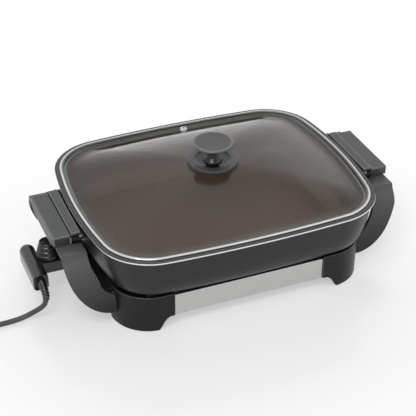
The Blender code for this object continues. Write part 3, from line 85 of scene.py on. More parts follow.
class NodeSheet:
    """The node tree of one material, with a short call for each kind of node used here."""

    def __init__(self, name: str) -> None:
        """Start a material with its Principled shader.

        Args:
            name: The material's name.
        """
        self.material = bpy.data.materials.new(name)
        self.material.use_nodes = True
        self.tree = self.material.node_tree
        self.shader = self.tree.nodes["Principled BSDF"]
        self.output = self.tree.nodes["Material Output"]

    def add(self, kind: str, **settings: object) -> bpy.types.Node:
        """Add a node of a kind with its settings."""
        node = self.tree.nodes.new(kind)
        for key, value in settings.items():
            setattr(node, key, value)
        return node

    def join(self, source: bpy.types.NodeSocket, target: bpy.types.NodeSocket) -> None:
        """Link an output to an input."""
        self.tree.links.new(source, target)

    def fix(self, values: dict[str, object]) -> None:
        """Set plain values on the shader's own sockets."""
        for name, value in values.items():
            self.shader.inputs[name].default_value = value

    def feed(self, name: str, source: bpy.types.NodeSocket) -> None:
        """Link an output to one of the shader's sockets."""
        self.join(source, self.shader.inputs[name])

    def where(self, stretch: Triple) -> bpy.types.NodeSocket:
        """Places in metres on the object, stretched along each axis.

        Args:
            stretch: Pattern cells to the metre along X, Y and Z.

        Returns:
            The socket that holds the stretched place.
        """
        place = self.add("ShaderNodeTexCoord")
        mapping = self.add("ShaderNodeMapping")
        mapping.inputs["Scale"].default_value = stretch
        self.join(place.outputs["Object"], mapping.inputs["Vector"])
        return mapping.outputs["Vector"]

    def noise(self, stretch: Triple, detail: float = 2.0) -> bpy.types.NodeSocket:
        """A soft random pattern with that many cells to the metre along each axis."""
        texture = self.add("ShaderNodeTexNoise")
        texture.inputs["Scale"].default_value = 1.0
        texture.inputs["Detail"].default_value = detail
        self.join(self.where(stretch), texture.inputs["Vector"])
        return texture.outputs["Fac"]

    def specks(self, cells: float) -> bpy.types.NodeSocket:
        """Distance from scattered points, that many to the metre."""
        texture = self.add("ShaderNodeTexVoronoi")
        texture.inputs["Scale"].default_value = 1.0
        self.join(self.where((cells, cells, cells)), texture.inputs["Vector"])
        return texture.outputs["Distance"]

    def height(self) -> bpy.types.NodeSocket:
        """The height above the floor, in metres."""
        place = self.add("ShaderNodeTexCoord")
        split = self.add("ShaderNodeSeparateXYZ")
        self.join(place.outputs["Object"], split.inputs["Vector"])
        return split.outputs["Z"]

    def span(self, source: bpy.types.NodeSocket, given: Pair, wanted: Pair) -> bpy.types.NodeSocket:
        """Map one range of a value onto another.

        Args:
            source: The value.
            given: The range that the value runs through.
            wanted: The range to turn it into.

        Returns:
            The mapped value.
        """
        node = self.add("ShaderNodeMapRange")
        for name, value in zip(("From Min", "From Max", "To Min", "To Max"), (*given, *wanted)):
            node.inputs[name].default_value = value
        self.join(source, node.inputs["Value"])
        return node.outputs["Result"]

    def blend(self, share: bpy.types.NodeSocket, first: object, second: object) -> bpy.types.NodeSocket:
        """Blend two colours, each a plain colour or a socket, by a share from 0 to 1."""
        node = self.add("ShaderNodeMix", data_type="RGBA")
        self.join(share, node.inputs["Factor"])
        for socket, colour in zip((node.inputs["A"], node.inputs["B"]), (first, second)):
            target = next(s for s in node.inputs if s.identifier == f"{socket.name}_Color")
            if isinstance(colour, bpy.types.NodeSocket):
                self.join(colour, target)
            else:
                target.default_value = (*colour, 1.0)
        return next(s for s in node.outputs if s.identifier == "Result_Color")

    def bump(self, source: bpy.types.NodeSocket, depth: float, strength: float = 0.5) -> None:
        """Raise the surface by a pattern, up to a depth in metres."""
        node = self.add("ShaderNodeBump")
        node.inputs["Strength"].default_value = strength
        node.inputs["Distance"].default_value = depth
        self.join(source, node.inputs["Height"])
        self.feed("Normal", node.outputs["Normal"])


@dataclass(frozen=True)
class Finish:
    """What every finish has."""

    name: str

    def make(self) -> bpy.types.Material:
        """Build the material."""
        raise NotImplementedError


@dataclass(frozen=True)
class MouldedPlastic(Finish):
    """Moulded plastic with the fine grain of its tool and faint handling marks."""

    colour: Colour
    marked: Colour
    roughness: Pair
    grain: float = 1100.0
    depth: float = 0.00004
    coat: float = 0.0
    gloss: float = 0.5

    def make(self) -> bpy.types.Material:
        """Build the material."""
        sheet = NodeSheet(self.name)
        marks = sheet.span(sheet.noise((34.0, 34.0, 34.0), 4.0), (0.35, 0.7), (0.0, 1.0))
        grain = sheet.noise((self.grain, self.grain, self.grain), 2.0)
        sheet.feed("Base Color", sheet.blend(marks, self.colour, self.marked))
        sheet.feed("Roughness", sheet.span(grain, (0.3, 0.7), self.roughness))
        sheet.bump(grain, self.depth)
        sheet.fix({"Coat Weight": self.coat, "Coat Roughness": 0.08, "Specular IOR Level": self.gloss})
        return sheet.material


@dataclass(frozen=True)
class HeightShadedPlastic(Finish):
    """Satin plastic painted a little greyer high up than at the floor: a painted sheen above and painted
    shade below.
    """

    low: Colour
    high: Colour
    heights: Pair
    roughness: Pair
    gloss: float = 0.25

    def make(self) -> bpy.types.Material:
        """Build the material."""
        sheet = NodeSheet(self.name)
        # painted sheen and shade: the colour runs from the low colour at the floor to the high colour up top,
        # by height
        rise = sheet.span(sheet.height(), self.heights, (0.0, 1.0))
        marks = sheet.span(sheet.noise((34.0, 34.0, 34.0), 4.0), (0.3, 0.7), (0.0, 0.2))
        sheet.feed("Base Color", sheet.blend(marks, sheet.blend(rise, self.low, self.high), self.high))
        grain = sheet.noise((950.0, 950.0, 950.0), 2.0)
        sheet.feed("Roughness", sheet.span(grain, (0.3, 0.7), self.roughness))
        sheet.bump(grain, 0.00003)
        sheet.fix({"Specular IOR Level": self.gloss})
        return sheet.material


@dataclass(frozen=True)
class ShadedPanEnamel(Finish):
    """The charcoal coat on the pan's outside, painted lighter under the lip and darker towards the base as
    painted shade.
    """

    low: Colour
    high: Colour
    heights: Pair

    def make(self) -> bpy.types.Material:
        """Build the material."""
        sheet = NodeSheet(self.name)
        # painted shade: the coat's colour runs from dark at the base to lighter under the lip, by height
        rise = sheet.span(sheet.height(), self.heights, (0.0, 1.0))
        cloud = sheet.span(sheet.noise((22.0, 22.0, 40.0), 4.0), (0.3, 0.7), (0.0, 0.22))
        base = sheet.blend(rise, self.low, self.high)
        sheet.feed("Base Color", sheet.blend(cloud, base, self.high))
        peel = sheet.noise((420.0, 420.0, 420.0), 2.0)
        sheet.feed("Roughness", sheet.span(peel, (0.3, 0.7), (0.26, 0.38)))
        sheet.bump(peel, 0.00005, 0.35)
        sheet.fix({"Specular IOR Level": 0.22, "Coat Weight": 0.04, "Coat Roughness": 0.2})
        return sheet.material


@dataclass(frozen=True)
class CookingCoat(Finish):
    """The speckled non-stick coat inside the pan."""

    colour: Colour
    speck: Colour

    def make(self) -> bpy.types.Material:
        """Build the material."""
        sheet = NodeSheet(self.name)
        specks = sheet.span(sheet.specks(300.0), (0.05, 0.13), (0.35, 0.0))
        cloud = sheet.span(sheet.noise((9.0, 9.0, 9.0), 4.0), (0.3, 0.7), (0.0, 0.35))
        base = sheet.blend(cloud, self.colour, self.speck)
        sheet.feed("Base Color", sheet.blend(specks, base, self.speck))
        grain = sheet.noise((700.0, 700.0, 700.0), 2.0)
        sheet.feed("Roughness", sheet.span(grain, (0.3, 0.7), (0.38, 0.46)))
        sheet.bump(grain, 0.000008, 0.3)
        sheet.fix({"Specular IOR Level": 0.2})
        return sheet.material


@dataclass(frozen=True)
class DrawnSteel(Finish):
    """Steel or aluminium with the streaks of its brushing or rolling along one axis."""

    colour: Colour
    streak: Colour
    roughness: Pair
    stretch: Triple
    depth: float = 0.00001
    anisotropic: float = 0.0

    def make(self) -> bpy.types.Material:
        """Build the material."""
        sheet = NodeSheet(self.name)
        streaks = sheet.noise(self.stretch, 3.0)
        wide = sheet.span(sheet.noise((7.0, 7.0, 30.0), 3.0), (0.3, 0.7), (0.0, 0.6))
        fine = sheet.span(streaks, (0.3, 0.7), (0.0, 1.0))
        sheet.feed("Base Color", sheet.blend(fine, sheet.blend(wide, self.colour, self.streak), self.colour))
        sheet.feed("Roughness", sheet.span(streaks, (0.3, 0.7), self.roughness))
        sheet.bump(streaks, self.depth, 0.3)
        sheet.fix({"Metallic": 1.0, "Anisotropic": self.anisotropic})
        return sheet.material


@dataclass(frozen=True)
class FiredClay(Finish):
    """Off-white insulating ceramic with scattered darker grains."""

    colour: Colour
    grain: Colour

    def make(self) -> bpy.types.Material:
        """Build the material."""
        sheet = NodeSheet(self.name)
        specks = sheet.span(sheet.specks(700.0), (0.08, 0.2), (0.6, 0.0))
        sheet.feed("Base Color", sheet.blend(specks, self.colour, self.grain))
        rough = sheet.noise((500.0, 500.0, 500.0), 3.0)
        sheet.feed("Roughness", sheet.span(rough, (0.3, 0.7), (0.55, 0.8)))
        sheet.bump(rough, 0.00006)
        return sheet.material


@dataclass(frozen=True)
class LidGlass(Finish):
    """Clear tempered glass that lets the lamps' light through to the pan."""

    tint: Colour
    roughness: float = 0.0
    bend: float = 1.25

    def make(self) -> bpy.types.Material:
        """Build the material."""
        sheet = NodeSheet(self.name)
        sheet.fix({
            "Base Color": (*self.tint, 1.0), "Roughness": self.roughness, "IOR": self.bend,
            "Transmission Weight": 1.0,
        })
        sheet.bump(sheet.noise((6.0, 6.0, 6.0), 2.0), 0.0006, 0.12)
        path = sheet.add("ShaderNodeLightPath")
        clear = sheet.add("ShaderNodeBsdfTransparent")
        clear.inputs["Color"].default_value = (*self.tint, 1.0)
        either = sheet.add("ShaderNodeMixShader")
        sheet.join(path.outputs["Is Shadow Ray"], either.inputs[0])
        sheet.join(sheet.shader.outputs["BSDF"], either.inputs[1])
        sheet.join(clear.outputs["BSDF"], either.inputs[2])
        sheet.join(either.outputs["Shader"], sheet.output.inputs["Surface"])
        return sheet.material


GRIP = MouldedPlastic(
    "grip_charcoal", (0.031, 0.033, 0.035), (0.039, 0.041, 0.043), (0.34, 0.46), 900.0, 0.00004, 0.0, 0.6
)
# Lighter rounded edges of the grips: partly wear, partly a painted highlight along the edges.
GRIP_EDGE_HIGHLIGHT_AND_WEAR = MouldedPlastic("grip_charcoal_edges", (0.100, 0.104, 0.110), (0.120, 0.124, 0.130), (0.30, 0.42))
BLACK = MouldedPlastic(
    "frame_black", (0.010, 0.010, 0.0115), (0.014, 0.0135, 0.015), (0.30, 0.42), 950.0, 0.00004, 0.0, 0.22
)
# Lighter rounded edges of the feet and arms: partly wear, partly a painted highlight along the edges.
BLACK_EDGE_HIGHLIGHT_AND_WEAR = MouldedPlastic(
    "frame_black_edges", (0.040, 0.040, 0.044), (0.052, 0.052, 0.057), (0.22, 0.32), 950.0, 0.00002, 0.0, 0.5
)
# The arms' plastic, painted greyer high up and darker low down: painted sheen and shade.
ARM_BLACK_PAINTED_SHADE = HeightShadedPlastic(
    "arm_black", (0.011, 0.011, 0.012), (0.085, 0.084, 0.088), (0.030, 0.088), (0.28, 0.38), 0.3
)
GLOSS = MouldedPlastic(
    "knob_gloss_black", (0.006, 0.006, 0.007), (0.008, 0.008, 0.009), (0.10, 0.16), 300.0, 0.00001, 0.2, 0.3
)
CONTROL = MouldedPlastic(
    "control_black", (0.009, 0.009, 0.010), (0.013, 0.013, 0.015), (0.16, 0.24), 700.0, 0.00002, 0.3
)
DIAL_SKIN = MouldedPlastic(
    "dial_black", (0.020, 0.020, 0.021), (0.026, 0.026, 0.027), (0.22, 0.30), 300.0, 0.000004
)
CORD_SKIN = MouldedPlastic(
    "cord_skin", (0.045, 0.045, 0.046), (0.062, 0.062, 0.063), (0.38, 0.5), 600.0, 0.00003
)
SOFT_BLACK = MouldedPlastic(
    "rubber_black", (0.018, 0.018, 0.018), (0.03, 0.03, 0.03), (0.7, 0.85), 800.0, 0.00006, 0.0, 0.3
)
MARKS = MouldedPlastic("printed_marks", (0.28, 0.29, 0.30), (0.34, 0.35, 0.36), (0.5, 0.6), 900.0, 0.00001)
# The pan's outside coat, painted darker towards the base and lighter under the lip: painted shade.
PAN_COAT_PAINTED_SHADE = ShadedPanEnamel("pan_coat_painted_shade", (0.006, 0.006, 0.0065), (0.032, 0.030, 0.030), (0.055, 0.122))
LIP_COAT = MouldedPlastic(
    "lip_coat", (0.014, 0.0138, 0.0136), (0.018, 0.0175, 0.0172), (0.16, 0.24), 500.0, 0.00002, 0.0, 0.6
)
COOKING = CookingCoat("cooking_coat", (0.046, 0.026, 0.018), (0.072, 0.047, 0.036))
BARE_LIP = DrawnSteel("bare_lip", (0.80, 0.80, 0.78), (0.66, 0.66, 0.64), (0.16, 0.28), (60.0, 60.0, 2200.0))
BRUSHED = DrawnSteel(
    "band_brushed", (0.56, 0.56, 0.55), (0.50, 0.50, 0.49), (0.30, 0.44), (6.0, 1500.0, 1500.0), 0.000012, 0.3
)
POLISHED = DrawnSteel(
    "rim_polished", (0.66, 0.67, 0.66), (0.56, 0.57, 0.56), (0.14, 0.22), (40.0, 40.0, 900.0)
)
# The rim's flat, skirt and shelf painted as darker steel: painted shade.
RIM_PAINTED_SHADE = DrawnSteel("rim_painted_shade", (0.16, 0.165, 0.155), (0.11, 0.115, 0.11), (0.3, 0.42), (60.0, 60.0, 900.0))
BRIGHT = DrawnSteel(
    "fastener_bright", (0.74, 0.74, 0.73), (0.62, 0.62, 0.61), (0.14, 0.26), (600.0, 600.0, 900.0)
)
ZINC = DrawnSteel("screw_zinc", (0.22, 0.22, 0.215), (0.15, 0.15, 0.145), (0.30, 0.42), (600.0, 600.0, 900.0))
DARK = DrawnSteel(
    "bracket_dark", (0.040, 0.040, 0.040), (0.026, 0.025, 0.024), (0.34, 0.5), (300.0, 300.0, 300.0)
)
DULL = DrawnSteel("tray_dull", (0.36, 0.36, 0.355), (0.28, 0.28, 0.275), (0.40, 0.6), (9.0, 700.0, 700.0))
CLAY = FiredClay("insulator", (0.72, 0.70, 0.65), (0.45, 0.42, 0.38))
CLEAR = LidGlass("lid_glass_clear", (0.97, 0.985, 0.975))
GREEN_EDGE = LidGlass("lid_glass_edge", (0.50, 0.66, 0.58), 0.15)


class Workshop:
    """Makes each finish once and hands its material out again."""

    def __init__(self) -> None:
        """Start with no materials made."""
        self.made: dict[Finish, bpy.types.Material] = {}

    def material(self, finish: Finish) -> bpy.types.Material:
        """The material of a finish, made on its first use."""
        if finish not in self.made:
            self.made[finish] = finish.make()
        return self.made[finish]

    def repaint(self, finish: Finish, *nodes: str) -> None:
        """Give CAD nodes that stay in view a finish.

        Args:
            finish: The finish that they take.
            nodes: The names of the nodes.
        """
        for name in nodes:
            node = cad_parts[name]
            if not node.material_slots:
                node.data.materials.append(None)
            for place in node.material_slots:
                place.material = self.material(finish)
            log.info("repainted %s with %s", name, finish.name)


WORKSHOP = Workshop()


def mount(piece: bpy.types.Object, body: Body, slot: str, *stands_for: str) -> bpy.types.Object:
    """Let a finished piece ride on its body.

    Args:
        piece: The piece, already in its place.
        body: The body that carries it.
        slot: The record's material slot; not used.
        stands_for: The CAD nodes that it replaces.

    Returns:
        The piece.
    """
    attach(piece, body.value)
    if stands_for:
        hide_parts(*stands_for)
    log.info("%s rides on %s", piece.name, body.value)
    return piece


class Shape:
    """One mesh under construction, in metres, in the object's frame."""

    def __init__(self, name: str) -> None:
        """Start an empty mesh.

        Args:
            name: The name of the piece that it becomes.
        """
        self.name = name
        self.mesh = bmesh.new()

    def skin(
        self,
        rings: Sequence[Sequence[Triple]],
        closed: bool = False,
        capped: bool = True,
        slots: Sequence[int] | None = None,
        open_rings: bool = False,
    ) -> "Shape":
        """Skin rings of equal counts.

        Args:
            rings: The rings, each a list of points.
            closed: Whether the last ring joins the first.
            capped: Whether the first and last rings are filled.
            slots: The material slot of each strip between two rings.
            open_rings: Whether each ring is a line that doesn't close on itself.

        Returns:
            The shape itself.
        """
        loops = [[self.mesh.verts.new(point) for point in ring] for ring in rings]
        pairs = list(zip(loops, loops[1:]))
        if closed:
            pairs.append((loops[-1], loops[0]))
        for strip, (low, high) in enumerate(pairs):
            count = len(low) - 1 if open_rings else len(low)
            for index in range(count):
                after = (index + 1) % len(low)
                face = self.mesh.faces.new((low[index], low[after], high[after], high[index]))
                face.material_index = slots[strip] if slots else 0
        if capped and not closed:
            for loop, strip in ((loops[0], 0), (loops[-1], -1)):
                self.mesh.faces.new(loop).material_index = slots[strip] if slots else 0
        return self

    def block(self, low: Triple, high: Triple) -> "Shape":
        """Add a box between two corners."""
        low, high = Vector(low), Vector(high)
        place = Matrix.Translation((low + high) / 2) @ Matrix.Diagonal((*(high - low), 1.0))
        bmesh.ops.create_cube(self.mesh, size=1.0, matrix=place)
        return self

    def prism(self, outline: Sequence[Pair], low: float, high: float, along: str) -> "Shape":
        """Add an outline, extruded along an axis.

        Args:
            outline: The outline in the two other axes, in the order X, Y, Z.
            low: Where the extrusion starts.
            high: Where it ends.
            along: The axis, X, Y or Z.

        Returns:
            The shape itself.
        """
        place: dict[str, Callable[[Pair, float], Triple]] = {
            "X": lambda p, at: (at, p[0], p[1]),
            "Y": lambda p, at: (p[0], at, p[1]),
            "Z": lambda p, at: (p[0], p[1], at),
        }
        return self.skin([[place[along](point, at) for point in outline] for at in (low, high)])

    def lathe(
        self, profile: Sequence[Pair], centre: Pair, steps: int, slots: Sequence[int] | None = None,
        closed: bool = False
    ) -> "Shape":
        """Turn a profile of radius and height about an upright axis.

        Args:
            profile: The radii and heights.
            centre: The axis's X and Y.
            steps: The number of steps round.
            slots: The material slot of each strip.
            closed: Whether the profile closes on itself.

        Returns:
            The shape itself.
        """
        turns = [2 * math.pi * index / steps for index in range(steps)]
        rings = [
            [(centre[0] + radius * math.cos(a), centre[1] + radius * math.sin(a), height) for a in turns]
            for radius, height in profile
        ]
        self.skin(rings, closed=closed, capped=False, slots=slots)
        bmesh.ops.remove_doubles(self.mesh, verts=self.mesh.verts, dist=WELD)
        return self

    def rod(self, radius: float, start: Triple, end: Triple, steps: int = 20) -> "Shape":
        """Add a cylinder from one point to another."""
        start, end = Vector(start), Vector(end)
        turn = (end - start).to_track_quat("Z", "Y").to_matrix().to_4x4()
        place = Matrix.Translation((start + end) / 2) @ turn
        bmesh.ops.create_cone(
            self.mesh, cap_ends=True, segments=steps, radius1=radius, radius2=radius,
            depth=(end - start).length,
            matrix=place,
        )
        return self

    def piece(self, *finishes: Finish) -> bpy.types.Object:
        """Turn the mesh into an object.

        Args:
            finishes: The finish of each material slot.

        Returns:
            The object, in the scene.
        """
        bmesh.ops.recalc_face_normals(self.mesh, faces=self.mesh.faces)
        data = bpy.data.meshes.new(self.name)
        self.mesh.to_mesh(data)
        self.mesh.free()
        made = bpy.data.objects.new(self.name, data)
        for finish in finishes:
            data.materials.append(WORKSHOP.material(finish))
        bpy.context.scene.collection.objects.link(made)
        return made


def soften(
    piece: bpy.types.Object, width: float, steps: int = 3, angle: float = 40.0, edge_slot: int = -1
) -> None:
    """Round a piece's sharp edges.

    Args:
        piece: The piece.
        width: The width of the rounding.
        steps: The number of steps across it.
        angle: Edges sharper than this, in degrees, are rounded.
        edge_slot: The material slot of the rounded edges, or -1 to leave them as they are.
    """
    rounding = piece.modifiers.new("rounding", "BEVEL")
    rounding.width = width
    rounding.segments = steps
    rounding.limit_method = "ANGLE"
    rounding.angle_limit = math.radians(angle)
    rounding.material = edge_slot


def carve(piece: bpy.types.Object, tool: bpy.types.Object, operation: str = "DIFFERENCE") -> None:
    """Cut a piece with another shape, or join or intersect the two."""
    cut = piece.modifiers.new("carving", "BOOLEAN")
    cut.operation = operation
    cut.solver = "EXACT"
    cut.object = tool
    tool.hide_render = True


def settle(
    piece: bpy.types.Object, tools: Iterable[bpy.types.Object] = (), angle: float = 32.0
) -> bpy.types.Object:
    """Apply a piece's modifiers, delete what carved it, and shade it smooth between its sharp edges.

    Args:
        piece: The piece.
        tools: The carving shapes, which aren't needed any more.
        angle: Edges sharper than this, in degrees, stay sharp.

    Returns:
        The piece.
    """
    graph = bpy.context.evaluated_depsgraph_get()
    data = bpy.data.meshes.new_from_object(piece.evaluated_get(graph))
    piece.modifiers.clear()
    piece.data = data
    for tool in tools:
        bpy.data.objects.remove(tool, do_unlink=True)
    data.shade_smooth()
    data.set_sharp_from_angle(angle=math.radians(angle))
    even = piece.modifiers.new("even shading", "WEIGHTED_NORMAL")
    even.keep_sharp = True
    return piece


def arc(centre: Pair, radius: float, start: float, end: float, steps: int) -> list[Pair]:
    """Points along a circle, both ends included."""
    angles = [start + (end - start) * index / steps for index in range(steps + 1)]
    return [(centre[0] + radius * math.cos(a), centre[1] + radius * math.sin(a)) for a in angles]


def read_table(table: Sequence[Pair], at: float) -> float:
    """Read a rising table between its rows."""
    for (low, low_value), (high, high_value) in zip(table, table[1:]):
        if at <= high:
            return low_value + (high_value - low_value) * (at - low) / (high - low)
    return table[-1][1]


def curve_point(a: Vector, b: Vector, c: Vector, d: Vector, t: float) -> Vector:
    """A point between b and c on the smooth curve through four knots."""
    ab, bc, cd = ((q - p).length**0.5 for p, q in ((a, b), (b, c), (c, d)))
    leave = ((b - a) / ab - (c - a) / (ab + bc) + (c - b) / bc) * bc
    arrive = ((c - b) / bc - (d - b) / (bc + cd) + (d - c) / cd) * bc
    square, cube = t * t, t * t * t
    ends = (2 * cube - 3 * square + 1) * b + (3 * square - 2 * cube) * c
    return ends + (cube - 2 * square + t) * leave + (cube - square) * arrive


def smooth_line(knots: Sequence[Sequence[float]], steps: int) -> list[Vector]:
    """One smooth curve through the knots.

    Args:
        knots: The points that it passes through, of two or three numbers each.
        steps: The number of steps from each knot to the next.

    Returns:
        The points of the curve, both ends included.
    """
    points = [Vector(knot) for knot in knots]
    padded = [2 * points[0] - points[1], *points, 2 * points[-1] - points[-2]]
    line = []
    for a, b, c, d in zip(padded, padded[1:], padded[2:], padded[3:]):
        line += [curve_point(a, b, c, d, index / steps) for index in range(steps)]
    return [*line, points[-1]]


def evenly(line: Sequence[Vector], spacing: float) -> list[Vector]:
    """Points at an even spacing along a line, both ends included."""
    lengths = [0.0]
    for first, second in zip(line, line[1:]):
        lengths.append(lengths[-1] + (second - first).length)
    count = max(2, round(lengths[-1] / spacing))
    points, at = [], 0
    for index in range(count + 1):
        wanted = lengths[-1] * index / count
        while at < len(lengths) - 2 and lengths[at + 1] < wanted:
            at += 1
        share = (wanted - lengths[at]) / (lengths[at + 1] - lengths[at])
        points.append(line[at].lerp(line[at + 1], share))
    return points


def hose(
    name: str, points: Sequence[Vector], radii: Sequence[float], finish: Finish, sides: int = 6
) -> bpy.types.Object:
    """A round tube through the points, as a curve of one open spline.

    Args:
        name: The piece's name.
        points: The points of its centreline.
        radii: Its radius at each point.
        finish: Its finish.
        sides: The bevel resolution.

    Returns:
        The tube.
    """
    data = bpy.data.curves.new(name, "CURVE")
    data.dimensions = "3D"
    data.bevel_depth = radii[0]
    data.bevel_resolution = sides
    data.use_fill_caps = True
    spline = data.splines.new("POLY")
    spline.points.add(len(points) - 1)
    for item, point, radius in zip(spline.points, points, radii):
        item.co = (*point, 1.0)
        item.radius = radius / radii[0]
    spline.use_smooth = True
    data.materials.append(WORKSHOP.material(finish))
    made = bpy.data.objects.new(name, data)
    bpy.context.scene.collection.objects.link(made)
    return made


@dataclass
class PhotoCamera:
    """The camera, at the photograph's place."""

    target: Triple = (0.0094, 0.0161, 0.0685)
    azimuth: float = math.radians(-22.48)
    elevation: float = math.radians(33.58)
    roll: float = math.radians(0.39)
    distance: float = 1.6667
    lens: float = 101.709
    sensor: float = 36.0
    shift: Pair = (0.00702, 0.0012)

    def make(self) -> bpy.types.Object:
        """Set the camera up."""
        back = Vector((
            math.sin(self.azimuth) * math.cos(self.elevation),
            -math.cos(self.azimuth) * math.cos(self.elevation),
            math.sin(self.elevation),
        ))
        level = Vector((math.cos(self.azimuth), math.sin(self.azimuth), 0.0))
        upright = back.cross(level)
        right = level * math.cos(self.roll) + upright * math.sin(self.roll)
        up = upright * math.cos(self.roll) - level * math.sin(self.roll)
        data = bpy.data.cameras.new("camera")
        data.lens = self.lens
        data.sensor_width = self.sensor
        data.shift_x, data.shift_y = self.shift
        data.clip_start, data.clip_end = 0.05, 60.0
        camera = bpy.data.objects.new("camera", data)
        bpy.context.scene.collection.objects.link(camera)
        turn = Matrix((right, up, back)).transposed().to_4x4()
        camera.matrix_world = Matrix.Translation(Vector(self.target) + back * self.distance) @ turn
        bpy.context.scene.camera = camera
        return camera


@dataclass
class Cord:
    """The mains lead: its strain relief, its run to the coil, the coil, the tie and the plug."""

    radius: float = 0.0035
    gap: float = 0.0003
    start: Triple = (-0.2604, -0.0577, 0.0342)
    lead: Triple = (-0.2621, -0.0580, 0.0274)
    route: tuple[Triple, ...] = (
        (-0.2660, -0.0558, 0.0212),
        (-0.2762, -0.0505, 0.0120),
        (-0.2895, -0.0482, 0.0056),
        (-0.3035, -0.0489, 0.0040),
        (-0.3230, -0.0496, 0.0040),
        (-0.3450, -0.0486, 0.0043),
    )
    coil_centre: Pair = (-0.372, -0.0035)
    coil_radius: float = 0.0385
    coil_turns: float = 3.25
    turn_gap: float = 0.0006
    points_a_turn: int = 48
    lift: float = 0.0014
    tail: float = 0.062
    length: float = 0.98
    relief_root: Triple = (-0.2605, -0.0403, 0.049)
    relief_radii: Pair = (0.0065, 0.0045)
    relief_run: float = 0.013
    relief_straight: float = 0.003
    relief_ribs: int = 7
    rib_share: float = 0.16
    plug_length: float = 0.030
    plug_half: float = 0.0115
    plug_height: float = 0.016

    def coil(self) -> list[Vector]:
        """The coil: in on the floor, up a layer and out again on top."""
        rise = 2 * self.radius + self.turn_gap
        outer = self.coil_radius + rise * self.coil_turns / 4
        low = self.lift + self.radius
        centre_x, centre_y = self.coil_centre
        count = round(self.coil_turns * self.points_a_turn)
        points = [Vector((centre_x + 2 * self.radius, centre_y - outer, low))]
        for index in range(count + 1):
            done = self.coil_turns * index / count
            reach = outer - rise * min(done, self.coil_turns - done)
            climb = min(1.0, max(0.0, 0.5 + 2 * (done - self.coil_turns / 2)))
            height = low + rise * climb * climb * (3 - 2 * climb)
            angle = -math.pi / 2 - 2 * math.pi * done
            points.append(
                Vector((centre_x + reach * math.cos(angle), centre_y + reach * math.sin(angle), height))
            )
        return [*points, points[-1] + Vector((0.0, 2 * self.radius, 0.0))]

    def centreline(self) -> tuple[list[Vector], Vector]:
        """The whole lead's line, from the strain relief to the plug.

        Returns:
            The points, and the point where the plug takes the lead.
        """
        coil = self.coil()
        start, lead = Vector(self.start), Vector(self.lead)
        straight = coil[0] + Vector((2 * self.radius + self.gap, 0.0, 0.0))
        run = evenly(smooth_line([lead, *self.route, straight], 24), 0.005)
        leave = coil[-1]
        end = leave + Vector((0.0, self.tail, 0.0))
        end.z = self.plug_height / 2
        first = leave + Vector((0.0, 2 * self.radius, 0.0))
        last = end - Vector((0.0, 2 * self.radius, 0.0))
        trail = evenly(smooth_line([first, first.lerp(last, 0.5), last], 24), 0.005)
        shift = Vector((MIDDLE_X, 0.0, 0.0))
        return [point + shift for point in [start, *run, *coil, *trail, end]], end + shift

    def relief(self) -> bpy.types.Object:
        """The ribbed, tapered strain relief at the control's front."""
        shift = Vector((MIDDLE_X, 0.0, 0.0))
        root = Vector(self.relief_root)
        straight = root - Vector((0.0, self.relief_straight, 0.0))
        bend = straight - Vector((0.0, self.relief_run, 0.0))
        tip = Vector(self.start)
        inward = (Vector(self.lead) - tip).normalized() * self.relief_straight
        curve = [root]
        for index in range(25):
            t = index / 24
            curve.append((1 - t) ** 2 * straight + 2 * t * (1 - t) * bend + t * t * (tip - inward))
        line = evenly([*curve, tip], 0.00035)
        radii = []
        for index in range(len(line)):
            share = index / (len(line) - 1)
            taper = self.relief_radii[0] + (self.relief_radii[1] - self.relief_radii[0]) * share
            groove = max(0.0, math.sin(2 * math.pi * self.relief_ribs * share)) if share > 0.12 else 0.0
            radii.append(taper * (1 - self.rib_share * groove))
        return hose("strain_relief_ribbed", [point + shift for point in line], radii, CONTROL, 5)

    def plug(self, end: Vector) -> bpy.types.Object:
        """The moulded plug, drawn in towards the lead and ribbed for the fingers."""
        shares = (
            (0.0, 0.42), (0.05, 0.46), (0.12, 0.50), (0.17, 0.60), (0.30, 0.80), (0.42, 0.92), (0.46, 0.86),
            (0.50, 0.86), (0.53, 0.95), (0.58, 0.96), (0.61, 0.88), (0.65, 0.88), (0.68, 0.98), (0.74, 1.0),
            (0.96, 1.0), (1.0, 0.95),
        )
        rings = []
        for along, size in shares:
            half_x, half_z = self.plug_half * size, self.plug_height / 2 * min(1.0, size + 0.02)
            corner = min(half_x, half_z) * 0.62
            ring = []
            for sx, sz, turn in ((1, 1, 0.0), (-1, 1, 0.5), (-1, -1, 1.0), (1, -1, 1.5)):
                centre = (sx * (half_x - corner), sz * (half_z - corner))
                ring += arc(centre, corner, turn * math.pi, (turn + 0.5) * math.pi, 6)
            y = end.y + self.gap + along * self.plug_length
            rings.append([(end.x + x, y, end.z + z) for x, z in ring])
        return settle(Shape("plug_moulded").skin(rings).piece(CORD_SKIN))

    def build(self) -> None:
        line, end = self.centreline()
        measured = sum((b - a).length for a, b in zip(line, line[1:]))
        log.info("the lead measures %.3f m", measured)
        lead = hose("power_cord", line, [self.radius] * len(line), CORD_SKIN)
        mount(lead, Body.CONTROL, "cord_plastic", "cord", "cord_coil", "cord_tail")
        plug = mount(self.plug(end), Body.CONTROL, "cord_plastic", "plug_body")
        mount(self.relief(), Body.CONTROL, "control_plastic", "strain_relief")
        WORKSHOP.repaint(SOFT_BLACK, "cord_tie")
        WORKSHOP.repaint(BRIGHT, "plug_blade_left", "plug_blade_right")


